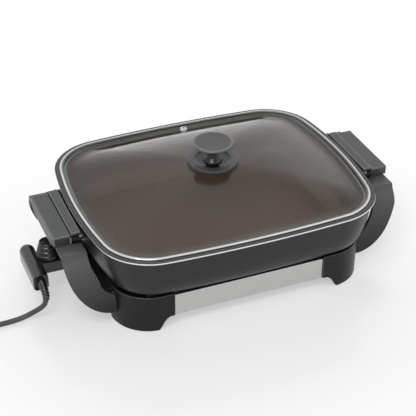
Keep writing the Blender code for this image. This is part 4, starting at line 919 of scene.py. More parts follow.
@dataclass
class BowedPlan:
    """The plan of the pan and the lid: long bowed sides joined by round corners."""

    half_length: float = 0.205
    half_depth: float = 0.1653
    corner: float = 0.076
    end_bow: float = 0.600
    front_bow: float = 1.750
    side_steps: int = 7
    corner_steps: int = 18

    def outline(self, inset: float) -> list[Pair]:
        """The outline, drawn in by an inset.

        Args:
            inset: The distance inside the pan's outermost edge.

        Returns:
            The points, once round, about the pan's middle.
        """
        end_centre = Vector((self.half_length - self.end_bow, 0.0))
        front_centre = Vector((0.0, self.half_depth - self.front_bow))
        link = front_centre - end_centre
        reach = self.end_bow - self.corner
        front_reach = self.front_bow - self.corner
        along = (reach**2 - front_reach**2 + link.length_squared) / (2 * link.length)
        across = math.sqrt(reach**2 - along**2)
        unit = link.normalized()
        centre = end_centre + unit * along + Vector((-unit.y, unit.x)) * across
        first = math.atan2(centre.y - end_centre.y, centre.x - end_centre.x)
        second = math.atan2(centre.y - front_centre.y, centre.x - front_centre.x)
        quarter = arc(end_centre, self.end_bow - inset, 0.0, first, self.side_steps)[:-1]
        quarter += arc(centre, self.corner - inset, first, second, self.corner_steps)[:-1]
        quarter += arc(front_centre, self.front_bow - inset, second, math.pi / 2, self.side_steps)
        upper = quarter + [(-x, y) for x, y in reversed(quarter[:-1])]
        return upper + [(x, -y) for x, y in reversed(upper[1:-1])]

    def ring(self, inset: float, height: float) -> list[Triple]:
        """The outline as points at a height, in the object's frame."""
        return [(MIDDLE_X + x, y, height) for x, y in self.outline(inset)]


PLAN = BowedPlan()


@dataclass
class Pan:
    """The cast pan, its lip, and what is fixed to it."""

    bottom: float = 0.052
    lip_bottom: float = 0.1245
    lip_top: float = 0.127
    floor: float = 0.0565
    slope: float = 0.050
    wall: float = 0.0035
    lip: float = 0.0112
    edge: float = 0.0007
    wall_shares: tuple[Pair, ...] = (
        (0.088, 1.0), (0.112, 0.85), (0.155, 0.62), (0.235, 0.386), (0.345, 0.21),
        (0.50, 0.11), (0.705, 0.048), (0.86, 0.012), (1.0, 0.0),
    )

    def outside(self) -> list[Vector]:
        """Inset and height down the outside of the wall."""
        fall = self.lip_bottom - self.bottom
        return smooth_line([(x * self.slope, self.bottom + z * fall) for x, z in self.wall_shares], 4)

    def inside(self) -> list[Pair]:
        """Inset and height down the inside of the wall."""
        line = self.outside()
        points = []
        for before, here, after in zip(line, line[1:], line[2:]):
            along = (after - before).normalized()
            point = here + Vector((-along.y, along.x)) * self.wall
            if point.x > self.lip and point.y > self.floor:
                points.append((point.x, point.y))
        return [(self.lip, points[0][1]), *points, (self.slope, self.floor)]

    def build(self) -> None:
        """Make the pan and paint what hangs on it."""
        outer = [(p.x, p.y) for p in reversed(self.outside())]
        e = self.edge
        lip = [
            (2 * e, self.lip_bottom), (e / 2, self.lip_bottom + e / 3), (0.0, self.lip_bottom + e),
            (0.0, self.lip_top - e), (e / 2, self.lip_top - e / 3), (2 * e, self.lip_top),
            (self.lip - e, self.lip_top), (
                self.lip - e / 3, self.lip_top - e / 3
            ), (self.lip, self.lip_top - e),
        ]
        profile = outer + lip + self.inside()
        strips = len(profile) - 1
        slots = [0] * strips
        bare = range(len(outer), len(outer) + 4)
        for index in bare:
            slots[index] = 1
        for index in range(bare[-1] + 1, len(outer) + 6):
            slots[index] = 2
        for index in range(len(outer) + 6, strips):
            slots[index] = 3
        shape = Shape("pan_coated").skin([PLAN.ring(inset, height) for inset, height in profile], slots=slots)
        mount(
            settle(shape.piece(PAN_COAT_PAINTED_SHADE, BARE_LIP, LIP_COAT, COOKING), angle=40.0), Body.PAN,
            "coated_aluminium", "pan"
        )
        WORKSHOP.repaint(DARK, "heating_element", "terminal_guard")
        WORKSHOP.repaint(CLAY, "terminal_block")
        WORKSHOP.repaint(BRIGHT, "terminal_pin_front", "terminal_pin_rear")


@dataclass
class Handle:
    """One handle: its grip panel, its inner strip and its two screws."""

    side: Side
    inner: float = 0.2202
    outer: float = 0.244
    half: float = 0.0545
    top: float = 0.1238
    skirt: float = 0.0138
    apron: float = 0.006
    apron_half: float = 0.050
    apron_blend: float = 0.012
    wall: float = 0.0022
    rounding: float = 0.0019
    strip: Pair = (0.2072, 0.2199)
    strip_heights: Pair = (0.1216, 0.1265)
    screw_place: Pair = (0.2081, 0.0577)
    screw_radius: float = 0.0026
    screw_heights: Pair = (0.1216, 0.1236)
    plate_heights: Pair = (0.1183, 0.1213)
    plate_half: float = 0.061
    plate_bow: Pair = (0.600, 0.00445)
    pan_half: float = 0.205
    tongue: Pair = (0.238, 0.046)
    lug_wall: float = 0.003

    def across(self, near: float, far: float) -> Pair:
        """Two distances from the pan's middle, as X from low to high on this handle's side."""
        ends = sorted((MIDDLE_X + self.side.value * near, MIDDLE_X + self.side.value * far))
        return ends[0], ends[1]

    def skirt_outline(self, inset: float, below: float) -> list[Pair]:
        """The panel seen from its end of the skillet: flat on top, with a deeper middle below.

        Args:
            inset: How far the outline is drawn in.
            below: How far its lower edge is let down.

        Returns:
            The outline in Y and Z.
        """
        half = self.half - inset
        edge = self.top - self.skirt - below
        full = edge - self.apron
        reach = self.apron_half - inset
        steps = [index / 8 for index in range(9)]
        ease = [(reach - self.apron_blend * (1 - s), full + self.apron * s * s * (3 - 2 * s)) for s in steps]
        right = [(half, self.top - inset), (half, edge), *reversed(ease)]
        return right + [(-y, z) for y, z in reversed(right)]

    def panel(self) -> bpy.types.Object:
        """The grip panel, a hollow cap."""
        label = self.side.name.lower()
        low, high = self.across(self.inner, self.outer)
        cap = Shape(f"grip_cap_{label}").prism(
            self.skirt_outline(0.0, 0.0), low, high, "X"
        ).piece(GRIP, GRIP_EDGE_HIGHLIGHT_AND_WEAR)
        soften(cap, self.rounding, 4, 50.0, 1)
        low, high = self.across(self.inner - 0.004, self.outer - self.wall)
        hollow = Shape("hollow").prism(self.skirt_outline(self.wall, 0.004), low, high, "X").piece(GRIP)
        carve(cap, hollow)
        return settle(cap, [hollow])

    def strip_piece(self) -> bpy.types.Object:
        """The raised strip between the panel and the pan."""
        label = self.side.name.lower()
        low, high = self.across(*self.strip)
        block = Shape(f"grip_strip_{label}").block(
            (low, -self.half, self.strip_heights[0]), (high, self.half, self.strip_heights[1])
        ).piece(GRIP, GRIP_EDGE_HIGHLIGHT_AND_WEAR)
        soften(block, 0.0015, 4, 50.0, 1)
        return settle(block)

    def bracket(self) -> bpy.types.Object:
        """The flat steel bracket under the lip, with its tongue under the grip and a lug at each end."""
        side = self.side.value
        low, high = self.plate_heights
        bow, inset = self.plate_bow
        radius = bow - inset
        swing = math.asin(self.plate_half / radius)
        root = arc((self.pan_half - bow, 0.0), radius, swing, -swing, 16)
        seam = self.strip[1]
        reach, tongue_half = self.tongue
        edge = [(seam, -self.plate_half), (seam, -tongue_half), (reach, -tongue_half)]
        outline = root + edge + [(x, -y) for x, y in reversed(edge)]
        name = f"bracket_pressed_{self.side.name.lower()}"
        plate = Shape(name).prism([(MIDDLE_X + side * x, y) for x, y in outline], low, high, "Z").piece(DARK)
        tools = []
        near, far = self.across(self.strip[0], seam - 0.0003)
        for end in End:
            ends = sorted((end.value * (self.half - self.lug_wall), end.value * self.half))
            lug = Shape("lug").block((near, ends[0], self.top - self.skirt), (far, ends[1], (low + high) / 2))
            tools.append(lug.piece(DARK))
            carve(plate, tools[-1], "UNION")
        soften(plate, 0.0004, 2, 50.0)
        return settle(plate, tools)

    def screw(self, end: End) -> bpy.types.Object:
        """A round-headed screw with a cross recess."""
        x = MIDDLE_X + self.side.value * self.screw_place[0]
        y = end.value * self.screw_place[1]
        base, top = self.screw_heights
        radius = self.screw_radius
        profile = [(0.0, base), (radius, base), (radius, base + (top - base) * 0.45)]
        profile += [(radius * math.cos(a), base + (top - base) * (0.45 + 0.55 * math.sin(a)))
                    for a in (0.4, 0.8, 1.15, math.pi / 2)]
        head = Shape(f"handle_screw_head_{end.name.lower()}_{self.side.name.lower()}")
        made = head.lathe(profile, (x, y), 28).piece(ZINC)
        slot, arm = 0.0003, radius * 0.6
        tools = []
        for along, wide in ((arm, slot), (slot, arm)):
            block = Shape("recess").block(
                (x - along, y - wide, top - 0.0007), (x + along, y + wide, top + 0.001)
            )
            tools.append(block.piece(ZINC))
            carve(made, tools[-1])
        return settle(made, tools)

    def build(self) -> None:
        """Make the handle's pieces."""
        label = self.side.name.lower()
        mount(self.panel(), Body.PAN, "grip_plastic", f"grip_panel_{label}")
        mount(self.strip_piece(), Body.PAN, "grip_plastic", f"handle_strip_{label}")
        mount(self.bracket(), Body.PAN, "dark_steel", f"handle_bracket_{label}")
        for end in End:
            node = f"handle_screw_{end.name.lower()}_{label}"
            mount(self.screw(end), Body.PAN, "bright_steel", node)


@dataclass
class Lid:
    """The loose lid: a steel rim, a domed pane, a steam vent and the knob."""

    lip_top: float = 0.127
    rim_inset: float = 0.007
    rim_top: float = 0.1293
    skirt: Pair = (0.0116, 0.0126)
    skirt_bottom: float = 0.1185
    shelf: Pair = (0.1226, 0.1236)
    shelf_tip: float = 0.0161
    glass_inset: float = 0.0129
    glass_top: float = 0.1279
    glass_thickness: float = 0.004
    margin: float = 0.015
    rise: float = 0.0285
    power: float = 2.2
    hole: float = 0.0042
    vent_place: Pair = (0.013, 0.1429)
    flange_bottom: float = 0.1563
    flange_radius: float = 0.0355
    flange_height: float = 0.0037
    dish_radius: float = 0.0235
    dish_depth: float = 0.0018
    stem_bottom: float = 0.1585
    stem_height: float = 0.0235
    stem_radius: float = 0.015
    disc_radius: float = 0.028
    disc_heights: Pair = (0.1823, 0.1863)

    def rim(self) -> bpy.types.Object:
        """The rim: a rolled flange on the lip, a skirt inside the opening and a shelf under the pane."""
        out, top = self.rim_inset, self.rim_top
        low = self.lip_top + 0.0003
        skirt_out, skirt_in = self.skirt
        crown = arc((out + 0.0012, top - 0.0012), 0.0012, math.pi, math.pi / 2, 6)
        fall = arc((skirt_in - 0.0009, top - 0.0009), 0.0009, math.pi / 2, 0.0, 5)
        profile = [
            (out, low), *crown, (out + 0.0028, top - 0.00005), *fall, (skirt_in, self.shelf[1]),
            (self.shelf_tip, self.shelf[1]), (self.shelf_tip, self.shelf[0]), (skirt_in, self.shelf[0]),
            (skirt_in, self.skirt_bottom), (skirt_out, self.skirt_bottom), (skirt_out, low),
        ]
        # Only the outer face and crown are polished; the rest of the rim takes the darker steel, a painted
        # shade.
        slots = [0] * (1 + len(crown)) + [1] * (len(profile) - 1 - len(crown))
        shape = Shape("rim_rolled").skin(
            [PLAN.ring(inset, height) for inset, height in profile], closed=True, slots=slots
        )
        return settle(shape.piece(POLISHED, RIM_PAINTED_SHADE))

    def dome(self, at: float) -> float:
        """The pane's height over its margin, where at is 0 in the middle and 1 at the dome's foot."""
        window = [at + 0.05 * (index / 6 - 1) for index in range(13)]
        return sum(self.rise * (1 - min(1.0, abs(u)) ** self.power) for u in window) / len(window)

    def pane_ring(self, at: float, drop: float) -> list[Triple]:
        """One ring of the pane.

        Args:
            at: 0 in the middle, 1 at the dome's foot, 2 at the pane's edge.
            drop: How far under the pane's top face the ring lies.

        Returns:
            The ring's points.
        """
        foot = PLAN.outline(self.glass_inset + self.margin)
        height = self.glass_top + self.dome(min(at, 1.6)) - drop
        if at <= 1.0:
            ring = []
            for x, y in foot:
                wide = math.hypot(x, y)
                reach = max(self.hole, wide * at) if at > 0.06 else self.hole
                ring.append((MIDDLE_X + x / wide * reach, y / wide * reach, height))
            return ring
        inset = self.glass_inset + self.margin * (2.0 - at)
        return PLAN.ring(inset, height)

    def pane(self) -> bpy.types.Object:
        """The glass pane, with its ground edge and its holes."""
        shares = [
            0.0, 0.07, 0.12, 0.2, 0.3, 0.4, 0.5, 0.6, 0.7, 0.78, 0.85, 0.9, 0.94, 0.97, 1.0, 1.15, 1.35, 1.7,
            1.95, 2.0
        ]
        ease = [0.0] * (len(shares) - 1) + [0.0006]
        over = [self.pane_ring(at, drop) for at, drop in zip(shares, ease)]
        under = [self.pane_ring(at, self.glass_thickness - drop) for at, drop in zip(shares, ease)]
        rings = over + list(reversed(under))
        slots = [0] * len(rings)
        for strip in range(len(over) - 2, len(over) + 1):
            slots[strip] = 1
        pane = Shape("pane_domed").skin(rings, closed=True, slots=slots).piece(CLEAR, GREEN_EDGE)
        x, y = MIDDLE_X + self.vent_place[0], self.vent_place[1]
        drill = Shape("drill").rod(0.0033, (x, y, 0.118), (x, y, 0.134)).piece(CLEAR)
        carve(pane, drill)
        return settle(pane, [drill], 28.0)

    def vent(self) -> bpy.types.Object:
        """The rolled eyelet that lets steam out."""
        over, under = self.glass_top + 0.0003, self.glass_top - self.glass_thickness - 0.0003
        profile = [
            (
                0.0018, under - 0.0006
            ), (0.0018, over + 0.0008), (0.0022, over + 0.00115), (0.0030, over + 0.0012),
            (0.0040, over + 0.0010), (0.0048, over + 0.0005), (0.0050, over), (0.0030, over), (0.0030, under),
            (0.0050, under), (0.0049, under - 0.0004), (0.0040, under - 0.0006),
        ]
        place = (MIDDLE_X + self.vent_place[0], self.vent_place[1])
        return settle(Shape("vent_rolled").lathe(profile, place, 36, closed=True).piece(POLISHED))

    def flange(self) -> bpy.types.Object:
        """The knob's foot: a grey ring round a glossy black dish."""
        bottom, top = self.flange_bottom, self.flange_bottom + self.flange_height
        dish, radius, deep = self.dish_radius, self.flange_radius, self.dish_depth
        profile = [
            (0.0029, top - deep), (dish - 0.004, top - deep), (dish - 0.001, top - deep + 0.0002),
            (dish + 0.0004, top - deep * 0.5), (dish + 0.0018, top - 0.0001), (dish + 0.0026, top),
            (radius - 0.0026, top), (radius - 0.0012, top - 0.0003), (radius - 0.0003, top - 0.0011),
            (radius, top - 0.0022), (radius, bottom), (0.0029, bottom),
        ]
        slots = [1, 1, 1, 1, 0, 0, 0, 0, 0, 0, 0, 0]
        shape = Shape("knob_foot").lathe(profile, (MIDDLE_X, 0.0), 72, slots, closed=True)
        return settle(shape.piece(GRIP, GLOSS))

    def stem(self) -> bpy.types.Object:
        """The glossy waisted neck."""
        shares = (
            (0.93, 0.0), (0.88, 0.07), (0.66, 0.24), (0.53, 0.42),
            (0.52, 0.60), (0.66, 0.78), (0.93, 0.94), (1.0, 1.0),
        )
        line = smooth_line(
            [(r * self.stem_radius, self.stem_bottom + z * self.stem_height) for r, z in shares], 6
        )
        tip = self.stem_bottom + 0.0078
        profile = [(0.0, tip), (0.0029, tip), (0.0029, self.stem_bottom)]
        profile += [(p.x, p.y) for p in line]
        profile.append((0.0, self.stem_bottom + self.stem_height))
        return settle(Shape("knob_neck").lathe(profile, (MIDDLE_X, 0.0), 64).piece(GLOSS))

    def disc(self) -> bpy.types.Object:
        """The flat grip of the knob, with a turned edge."""
        low, high = self.disc_heights
        radius, thick = self.disc_radius, high - low
        profile = [(0.0, low), (radius - 0.004, low), (radius - 0.0016, low + 0.0004)]
        profile += [
            (radius - 0.0012 + 0.0012 * math.cos(a), low + thick / 2 + (thick / 2 - 0.0003) * math.sin(a))
            for a in (-1.1, -0.7, -0.3, 0.0, 0.3, 0.7, 1.1, 1.4)
        ]
        profile += [
            (radius - 0.0020, high - 0.0001), (radius - 0.0034, high - 0.0002),
            (radius - 0.0045, high - 0.0005), (0.012, high - 0.0006), (0.0, high - 0.0006),
        ]
        slots = [0, 0, 1, 1, 1, 1, 1, 1, 1, 1, 1, 1, 0, 0, 0]
        return settle(Shape("knob_grip").lathe(profile, (MIDDLE_X, 0.0), 80, slots).piece(GRIP, GRIP_EDGE_HIGHLIGHT_AND_WEAR))

    def build(self) -> None:
        """Make the lid's pieces."""
        mount(self.rim(), Body.LID, "polished_steel", "lid_rim")
        mount(self.pane(), Body.LID, "tempered_glass", "lid_glass")
        mount(self.vent(), Body.LID, "polished_steel", "vent_eyelet")
        mount(self.flange(), Body.LID, "grip_plastic", "knob_flange")
        mount(self.stem(), Body.LID, "gloss_black_plastic", "knob_stem")
        mount(self.disc(), Body.LID, "grip_plastic", "knob_disc")
        WORKSHOP.repaint(SOFT_BLACK, "knob_washer")
        WORKSHOP.repaint(BRIGHT, "knob_screw")


@dataclass
class Base:
    """The stand: four corner feet with their arms, two steel bands, two side rails and the tray."""

    half_length: float = 0.180
    half_depth: float = 0.1365
    height: float = 0.0555
    corner: float = 0.054
    foot_wall: float = 0.005
    lift: float = 0.001
    front_end: float = 0.108
    side_end: float = 0.063
    foot_front: float = 0.1315
    foot_side: float = 0.0865
    arch_height: float = 0.0196
    arch_run: float = 0.0185
    arch_shares: tuple[Pair, ...] = (
        (0.0, 1.0), (0.15, 0.975), (0.31, 0.88), (0.42, 0.78), (0.52, 0.67), (0.64, 0.48),
        (0.77, 0.26), (0.9, 0.08),
        (1.0, 0.0),
    )
    arm_top: float = 0.1095
    arm_depth: float = 0.103
    arm_wall: float = 0.005
    arm_inner: Triple = (0.173, 0.0335, 0.0625)
    arm_outer: Triple = (0.176, 0.065, 0.089)
    arm_low: tuple[Pair, ...] = (
        (0.0, 1.0), (0.20, 0.997), (0.30, 0.99), (0.447, 0.968), (0.575, 0.942), (0.70, 0.922), (0.76, 0.912),
        (0.793, 0.903),
    )
    arm_high: tuple[Pair, ...] = (
        (0.793, 0.903), (0.84, 0.878), (0.88, 0.845), (0.92, 0.805), (0.95, 0.780),
        (0.98, 0.766), (1.0, 0.762),
    )
    arm_steps: int = 56
    ledge_end: float = 0.0512
    band_face: float = 0.134
    band_wall: float = 0.0012
    band_depth: float = 0.008
    band_heights: Pair = (0.0187, 0.0512)

    def arch(self, beyond: float) -> float:
        """The height of a foot's lower edge, at a distance past the start of the arch's fall."""
        share = min(1.0, max(0.0, beyond / self.arch_run))
        return max(self.lift, read_table(self.arch_shares, share) * self.arch_height)

    def foot_sections(self) -> list[tuple[Pair, Pair, float]]:
        """The foot's wall as sections: outer point, inner point and lower edge, at the +X +Y corner."""
        wall, sections = self.foot_wall, []
        straight = self.half_depth - self.corner
        side_fall = self.foot_side - self.arch_run
        for index in range(15):
            y = self.side_end + (straight - self.side_end) * index / 15
            sections.append(((self.half_length, y), (self.half_length - wall, y), self.arch(y - side_fall)))
        centre = (self.half_length - self.corner, straight)
        outer = arc(centre, self.corner, 0.0, math.pi / 2, 36)
        inner = arc(centre, self.corner - wall, 0.0, math.pi / 2, 36)
        front_fall = self.foot_front - self.arch_run
        for far, near in zip(outer, inner):
            low = self.arch(far[1] - side_fall) if far[0] > far[1] else self.arch(far[0] - front_fall)
            sections.append((far, near, low))
        for index in range(1, 19):
            x = centre[0] + (self.front_end - centre[0]) * index / 18
            sections.append(((x, self.half_depth), (x, self.half_depth - wall), self.arch(x - front_fall)))
        return sections

    def foot(self, side: Side, end: End) -> bpy.types.Object:
        """One corner foot."""
        rings = []
        for far, near, low in self.foot_sections():
            corners = ((far, low), (far, self.height), (near, self.height), (near, low))
            rings.append([(MIDDLE_X + side.value * p[0], end.value * p[1], z) for p, z in corners])
        shape = Shape(f"foot_shell_{end.name.lower()}_{side.name.lower()}").skin(rings)
        piece = shape.piece(BLACK, BLACK_EDGE_HIGHLIGHT_AND_WEAR)
        soften(piece, 0.0009, 3, 50.0, 1)
        return settle(piece)

    def corner_reach(self, depth: float) -> float:
        """How far out the foot's rounded corner stands at a depth, with a hair of room."""
        across = max(0.0, depth - (self.half_depth - self.corner))
        return self.half_length - self.corner + math.sqrt(self.corner**2 - across**2) + 0.0006

    def arm_reach(self, edge: Triple, height: float) -> float:
        """How far out one edge of the arm stands: a quarter ellipse from the foot up to the ledge."""
        centre, run, fall = edge
        share = min(1.0, (self.arm_top - height) / fall)
        return centre + run * math.sqrt(1 - share * share)

    def arm_front(self) -> list[Vector]:
        """The arm's front in Y and Z, from its lowest point on the foot up and over to the ledge's end."""
        centre, run, fall = self.arm_outer
        root = self.corner_reach(self.arm_depth - self.arm_wall)
        lowest = self.arm_top - fall * math.sqrt(1 - ((root - centre) / run) ** 2) + 0.0004
        table = [(p.x, p.y) for part in (self.arm_low, self.arm_high) for p in smooth_line(part, 6)]
        crease = self.arm_low[-1][0] * self.arm_top
        below = [lowest + (crease - lowest) * index / self.arm_steps for index in range(self.arm_steps)]
        last = self.arm_top - self.arm_wall - 0.0002
        above = [crease + (last - crease) * index / 18 for index in range(19)]
        levels = [*below, *above, self.arm_top]
        front = [Vector((self.arm_depth * read_table(table, z / self.arm_top), z)) for z in levels]
        return [*front, Vector((self.ledge_end, self.arm_top))]

    def arm_back(self, front: Sequence[Vector]) -> list[Vector]:
        """The arm's back, one wall behind each point of its front."""
        back = []
        for index, point in enumerate(front):
            before = (point - front[max(index - 1, 0)]).normalized()
            after = (front[min(index + 1, len(front) - 1)] - point).normalized()
            sides = [Vector((-way.y, way.x)) for way in (before, after) if way.length > 0]
            middle = sum(sides, Vector((0.0, 0.0))).normalized()
            back.append(point + middle * self.arm_wall / middle.dot(sides[0]))
        return back

    def arm(self, side: Side, end: End) -> bpy.types.Object:
        """One free arm: a curved blade with a crease, which ends in a flat ledge under the grip's end."""
        front = self.arm_front()
        rings = []
        for face, back in zip(front, self.arm_back(front)):
            ring = []
            for point, outermost in ((face, False), (face, True), (back, True), (back, False)):
                x = self.arm_reach(self.arm_outer if outermost else self.arm_inner, point.y)
                if not outermost:
                    x = max(x, self.corner_reach(point.x))
                ring.append((MIDDLE_X + side.value * x, end.value * point.x, point.y))
            rings.append(ring)
        shape = Shape(f"arm_blade_{end.name.lower()}_{side.name.lower()}").skin(rings)
        piece = shape.piece(ARM_BLACK_PAINTED_SHADE, BLACK_EDGE_HIGHLIGHT_AND_WEAR)
        soften(piece, 0.0007, 3, 60.0, 1)
        settle(piece, angle=38.0)
        crease = self.arm_low[-1][0] * self.arm_top
        points = piece.data.vertices
        for edge in piece.data.edges:
            if all(abs(points[index].co.z - crease) < WELD for index in edge.vertices):
                edge.use_edge_sharp = True
        return piece

    def band(self, end: End) -> bpy.types.Object:
        """A brushed steel band, folded over at its top and bottom edges."""
        low, high = self.band_heights
        face, back, tip = self.band_face, self.band_face - self.band_wall, self.band_face - self.band_depth
        fold = 0.0016
        upper = arc((face - fold, high - fold), fold, 0.0, math.pi / 2, 5)
        lower = arc((face - fold, low + fold), fold, -math.pi / 2, 0.0, 5)
        outline = [*upper, (tip, high), (tip, high - self.band_wall), (back, high - self.band_wall),
                   (back, low + self.band_wall), (tip, low + self.band_wall), (tip, low), *lower]
        half = self.front_end - 0.0003
        section = [(end.value * y, z) for y, z in outline]
        shape = Shape(f"band_folded_{end.name.lower()}").prism(section, MIDDLE_X - half, MIDDLE_X + half, "X")
        return settle(shape.piece(BRUSHED), angle=30.0)

    def build(self) -> None:
        """Make the base's pieces."""
        for side in Side:
            for end in End:
                corner = f"{end.name.lower()}_{side.name.lower()}"
                mount(self.foot(side, end), Body.BASE, "black_plastic", f"foot_{corner}")
                mount(self.arm(side, end), Body.BASE, "black_plastic", f"arm_{corner}")
                WORKSHOP.repaint(SOFT_BLACK, f"foot_pad_{corner}")
                WORKSHOP.repaint(CLAY, f"pan_rest_{corner}")
            WORKSHOP.repaint(BLACK, f"side_rail_{side.name.lower()}")
        for end in End:
            mount(self.band(end), Body.BASE, "brushed_steel", f"steel_band_{end.name.lower()}")
        WORKSHOP.repaint(DULL, "base_tray")


@dataclass
class HeatControl:
    """The plug-in heat control: housing, neck, dial and the marks on it."""

    reach: float = 0.271
    root: float = 0.250
    half: float = 0.040
    low: float = 0.036
    top: float = 0.062
    seam: float = 0.046
    neck_half: float = 0.0145
    neck_low: float = 0.0405
    nose: float = 0.178
    dial_x: float = 0.240
    dial_radius: float = 0.015
    dial_bottom: float = 0.0623
    dial_height: float = 0.0225
    dial_shares: tuple[Pair, ...] = (
        (1.0, 0.0), (1.0, 0.19), (0.92, 0.25), (0.89, 0.46), (0.81, 0.52),
        (0.79, 0.74), (0.70, 0.80), (0.67, 0.97), (0.63, 1.0),
    )
    marks: int = 7

    def body(self) -> tuple[bpy.types.Object, list[bpy.types.Object]]:
        """The housing's outer form, with its neck joined on and its bores cut.

        Returns:
            The piece with its modifiers, and the shapes that carve it.
        """
        centre = MIDDLE_X - (self.reach + self.root) / 2
        wide = (self.reach - self.root) / 2
        middle, tall = (self.low + self.top) / 2, (self.top - self.low) / 2
        rings = []
        stations = [(-self.half, 0.90), (-self.half + 0.0008, 0.96), (-self.half + 0.0024, 1.0)]
        stations += [(y, 1.0) for y in (-0.02, 0.0, 0.015)]
        stations += [
            (self.half - wide + wide * math.sin(a), math.cos(a) ** 0.8)
            for a in (0.0, 0.3, 0.6, 0.85, 1.1, 1.3, 1.45)
        ]
        for y, size in stations:
            half_x, half_z = wide * size, tall * (0.35 + 0.65 * size)
            upper, lower = min(0.0088, half_x * 0.96), min(0.0045, half_x * 0.96)
            ring = arc((half_x - upper, half_z - upper), upper, 0.0, math.pi / 2, 8)
            ring += arc((upper - half_x, half_z - upper), upper, math.pi / 2, math.pi, 8)
            ring += arc((lower - half_x, lower - half_z), lower, math.pi, 1.5 * math.pi, 6)
            ring += arc((half_x - lower, lower - half_z), lower, 1.5 * math.pi, 2 * math.pi, 6)
            rings.append([(centre + x, y, middle + z) for x, z in ring])
        shell = Shape("control_shell").skin(rings).piece(CONTROL)
        tip, crown = MIDDLE_X - self.nose, self.top - 0.0012
        outline = [
            (
                centre, self.neck_low
            ), (tip, self.neck_low), (tip, crown - 0.0045), (tip - 0.009, crown), (centre, crown),
        ]
        neck = Shape("neck").prism(outline, -self.neck_half, self.neck_half, "Y").piece(CONTROL)
        soften(neck, 0.0035, 5, 50.0)
        carve(shell, neck, "UNION")
        tools = [neck]
        for y, radius in ((-0.0095, 0.00325), (0.0095, 0.00325), (0.0, 0.0031)):
            start = (MIDDLE_X - self.nose - 0.025, y, self.seam)
            tools.append(
                Shape("bore").rod(radius, start, (MIDDLE_X - self.nose + 0.004, y, self.seam)).piece(CONTROL)
            )
            carve(shell, tools[-1])
        return shell, tools

    def halves(self) -> list[bpy.types.Object]:
        """The two halves of the housing, apart by a hair at their seam."""
        pieces = []
        for name, low, high in (("lower", 0.02, self.seam - 0.00015), ("upper", self.seam + 0.00015, 0.08)):
            shell, tools = self.body()
            shell.name = f"control_shell_{name}"
            keep = Shape("keep").block((-0.30, -0.06, low), (-0.12, 0.06, high)).piece(CONTROL)
            carve(shell, keep, "INTERSECT")
            pieces.append(settle(shell, [*tools, keep], 34.0))
        return pieces

    def dial(self) -> bpy.types.Object:
        """The stepped dial, its edges broken."""
        radius, base, tall = self.dial_radius, self.dial_bottom, self.dial_height
        outer = [(r * radius, base + z * tall) for r, z in self.dial_shares]
        profile = [
            (0.0033, base + 0.0143), (0.0033, base), *outer, (0.008, base + tall - 0.0007),
            (0.0, base + tall - 0.0007)
        ]
        shape = Shape("dial_stepped").lathe(profile, (MIDDLE_X - self.dial_x, 0.0), 72)
        piece = shape.piece(DIAL_SKIN)
        soften(piece, 0.0004, 2, 40.0)
        return settle(piece)

    def dial_marks(self) -> bpy.types.Object:
        """Plain marks round the dial's foot and a pointer on its top."""
        shape = Shape("dial_marks")
        x, y = MIDDLE_X - self.dial_x, 0.0
        low = self.dial_bottom + 0.0012
        for index in range(self.marks):
            turn = Matrix.Rotation(math.radians(-30.0 - 45.0 * index), 4, "Z")
            spot = Matrix.Translation((x, y, low + 0.0008)) @ turn @ Matrix.Translation(
                (self.dial_radius, 0.0, 0.0)
            )
            bmesh.ops.create_cube(
                shape.mesh, size=1.0, matrix=spot @ Matrix.Diagonal((0.00016, 0.0004, 0.0012, 1.0))
            )
        top = self.dial_bottom + self.dial_height - 0.0007
        pointer = Matrix.Translation((x - 0.0052, y, top)) @ Matrix.Diagonal((0.0050, 0.0007, 0.00016, 1.0))
        bmesh.ops.create_cube(shape.mesh, size=1.0, matrix=pointer)
        return settle(shape.piece(MARKS))

    def build(self) -> None:
        """Make the control's pieces."""
        lower, upper = self.halves()
        mount(lower, Body.CONTROL, "control_plastic", "control_housing_lower")
        mount(upper, Body.CONTROL, "control_plastic", "control_housing_upper")
        mount(self.dial(), Body.DIAL, "control_plastic", "temperature_dial")
        mount(self.dial_marks(), Body.DIAL, "control_plastic")
        WORKSHOP.repaint(BRIGHT, "sensor_stem", "dial_shaft")
        WORKSHOP.repaint(CLAY, "thermostat")


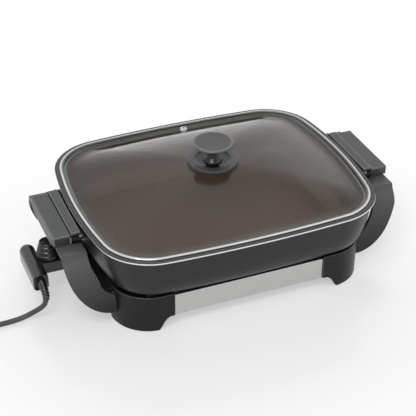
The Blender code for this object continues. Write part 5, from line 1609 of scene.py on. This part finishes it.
@dataclass
class Studio:
    """The pale floor, the white room and the soft lamps."""

    floor_colour: Colour = (0.90, 0.90, 0.90)
    room_strength: float = 0.55
    lamps: tuple[tuple[str, Triple, Triple, Pair, float], ...] = (
        ("key", (-0.75, -1.0, 1.65), (0.0, 0.0, 0.05), (1.1, 0.8), 16.0),
        ("fill", (1.5, -0.9, 1.2), (0.0, 0.0, 0.05), (1.0, 1.0), 2.5),
        ("back", (0.65, 1.60, 1.20), (0.0, 0.0, 0.12), (2.0, 0.9), 22.0),
    )

    def seen(self, tree: bpy.types.NodeTree) -> bpy.types.NodeSocket:
        """1 where the camera, a mirror or glass looks, 0 elsewhere."""
        path = tree.nodes.new("ShaderNodeLightPath")
        total = path.outputs["Is Camera Ray"]
        for name in ("Is Glossy Ray", "Is Transmission Ray"):
            top = tree.nodes.new("ShaderNodeMath")
            top.operation = "MAXIMUM"
            tree.links.new(total, top.inputs[0])
            tree.links.new(path.outputs[name], top.inputs[1])
            total = top.outputs[0]
        return total

    def room(self) -> None:
        """The world: white where it is seen, softer where it lights."""
        world = bpy.data.worlds.new("room")
        bpy.context.scene.world = world
        world.use_nodes = True
        tree = world.node_tree
        light = tree.nodes["Background"]
        light.inputs["Color"].default_value = (1.0, 1.0, 1.0, 1.0)
        light.inputs["Strength"].default_value = self.room_strength
        white = tree.nodes.new("ShaderNodeBackground")
        white.inputs["Color"].default_value = (1.0, 1.0, 1.0, 1.0)
        white.inputs["Strength"].default_value = 1.0
        mix = tree.nodes.new("ShaderNodeMixShader")
        tree.links.new(self.seen(tree), mix.inputs[0])
        tree.links.new(light.outputs[0], mix.inputs[1])
        tree.links.new(white.outputs[0], mix.inputs[2])
        tree.links.new(mix.outputs[0], tree.nodes["World Output"].inputs["Surface"])

    def floor(self) -> None:
        """A wide pale floor with a trace of gloss."""
        sheet = NodeSheet("floor_white")
        sheet.fix({"Base Color": (*self.floor_colour, 1.0), "Specular IOR Level": 0.35})
        faint = sheet.noise((3.0, 3.0, 3.0), 2.0)
        sheet.feed("Roughness", sheet.span(faint, (0.3, 0.7), (0.16, 0.2)))
        glow = sheet.add("ShaderNodeEmission")
        glow.inputs["Strength"].default_value = 1.0
        mix = sheet.add("ShaderNodeMixShader")
        share = sheet.span(self.seen(sheet.tree), (0.0, 1.0), (0.0, 0.45))
        sheet.join(share, mix.inputs[0])
        sheet.join(sheet.shader.outputs["BSDF"], mix.inputs[1])
        sheet.join(glow.outputs["Emission"], mix.inputs[2])
        sheet.join(mix.outputs["Shader"], sheet.output.inputs["Surface"])
        shape = Shape("floor")
        bmesh.ops.create_grid(shape.mesh, x_segments=1, y_segments=1, size=14.0)
        data = bpy.data.meshes.new("floor")
        shape.mesh.to_mesh(data)
        shape.mesh.free()
        data.materials.append(sheet.material)
        floor = bpy.data.objects.new("floor", data)
        bpy.context.scene.collection.objects.link(floor)

    def lamp(self, name: str, place: Triple, aim: Triple, size: Pair, watts: float) -> None:
        """One soft rectangular lamp."""
        data = bpy.data.lights.new(name, "AREA")
        data.shape = "RECTANGLE"
        data.size, data.size_y = size
        data.energy = watts
        lamp = bpy.data.objects.new(name, data)
        bpy.context.scene.collection.objects.link(lamp)
        lamp.location = place
        lamp.visible_glossy = name != "back"
        lamp.visible_transmission = False
        lamp.rotation_euler = (Vector(aim) - Vector(place)).to_track_quat("-Z", "Y").to_euler()

    def build(self) -> None:
        """Set the room up."""
        self.room()
        self.floor()
        for lamp in self.lamps:
            self.lamp(*lamp)
        bpy.context.scene.view_settings.view_transform = "Standard"


def main() -> None:
    """Build the scene, the camera and the cord first."""
    logging.basicConfig(level=logging.INFO, format="%(name)s: %(message)s")
    PhotoCamera().make()
    Cord().build()
    Studio().build()
    Base().build()
    Pan().build()
    for side in Side:
        Handle(side).build()
    Lid().build()
    HeatControl().build()


if __name__ == "__main__":
    main()
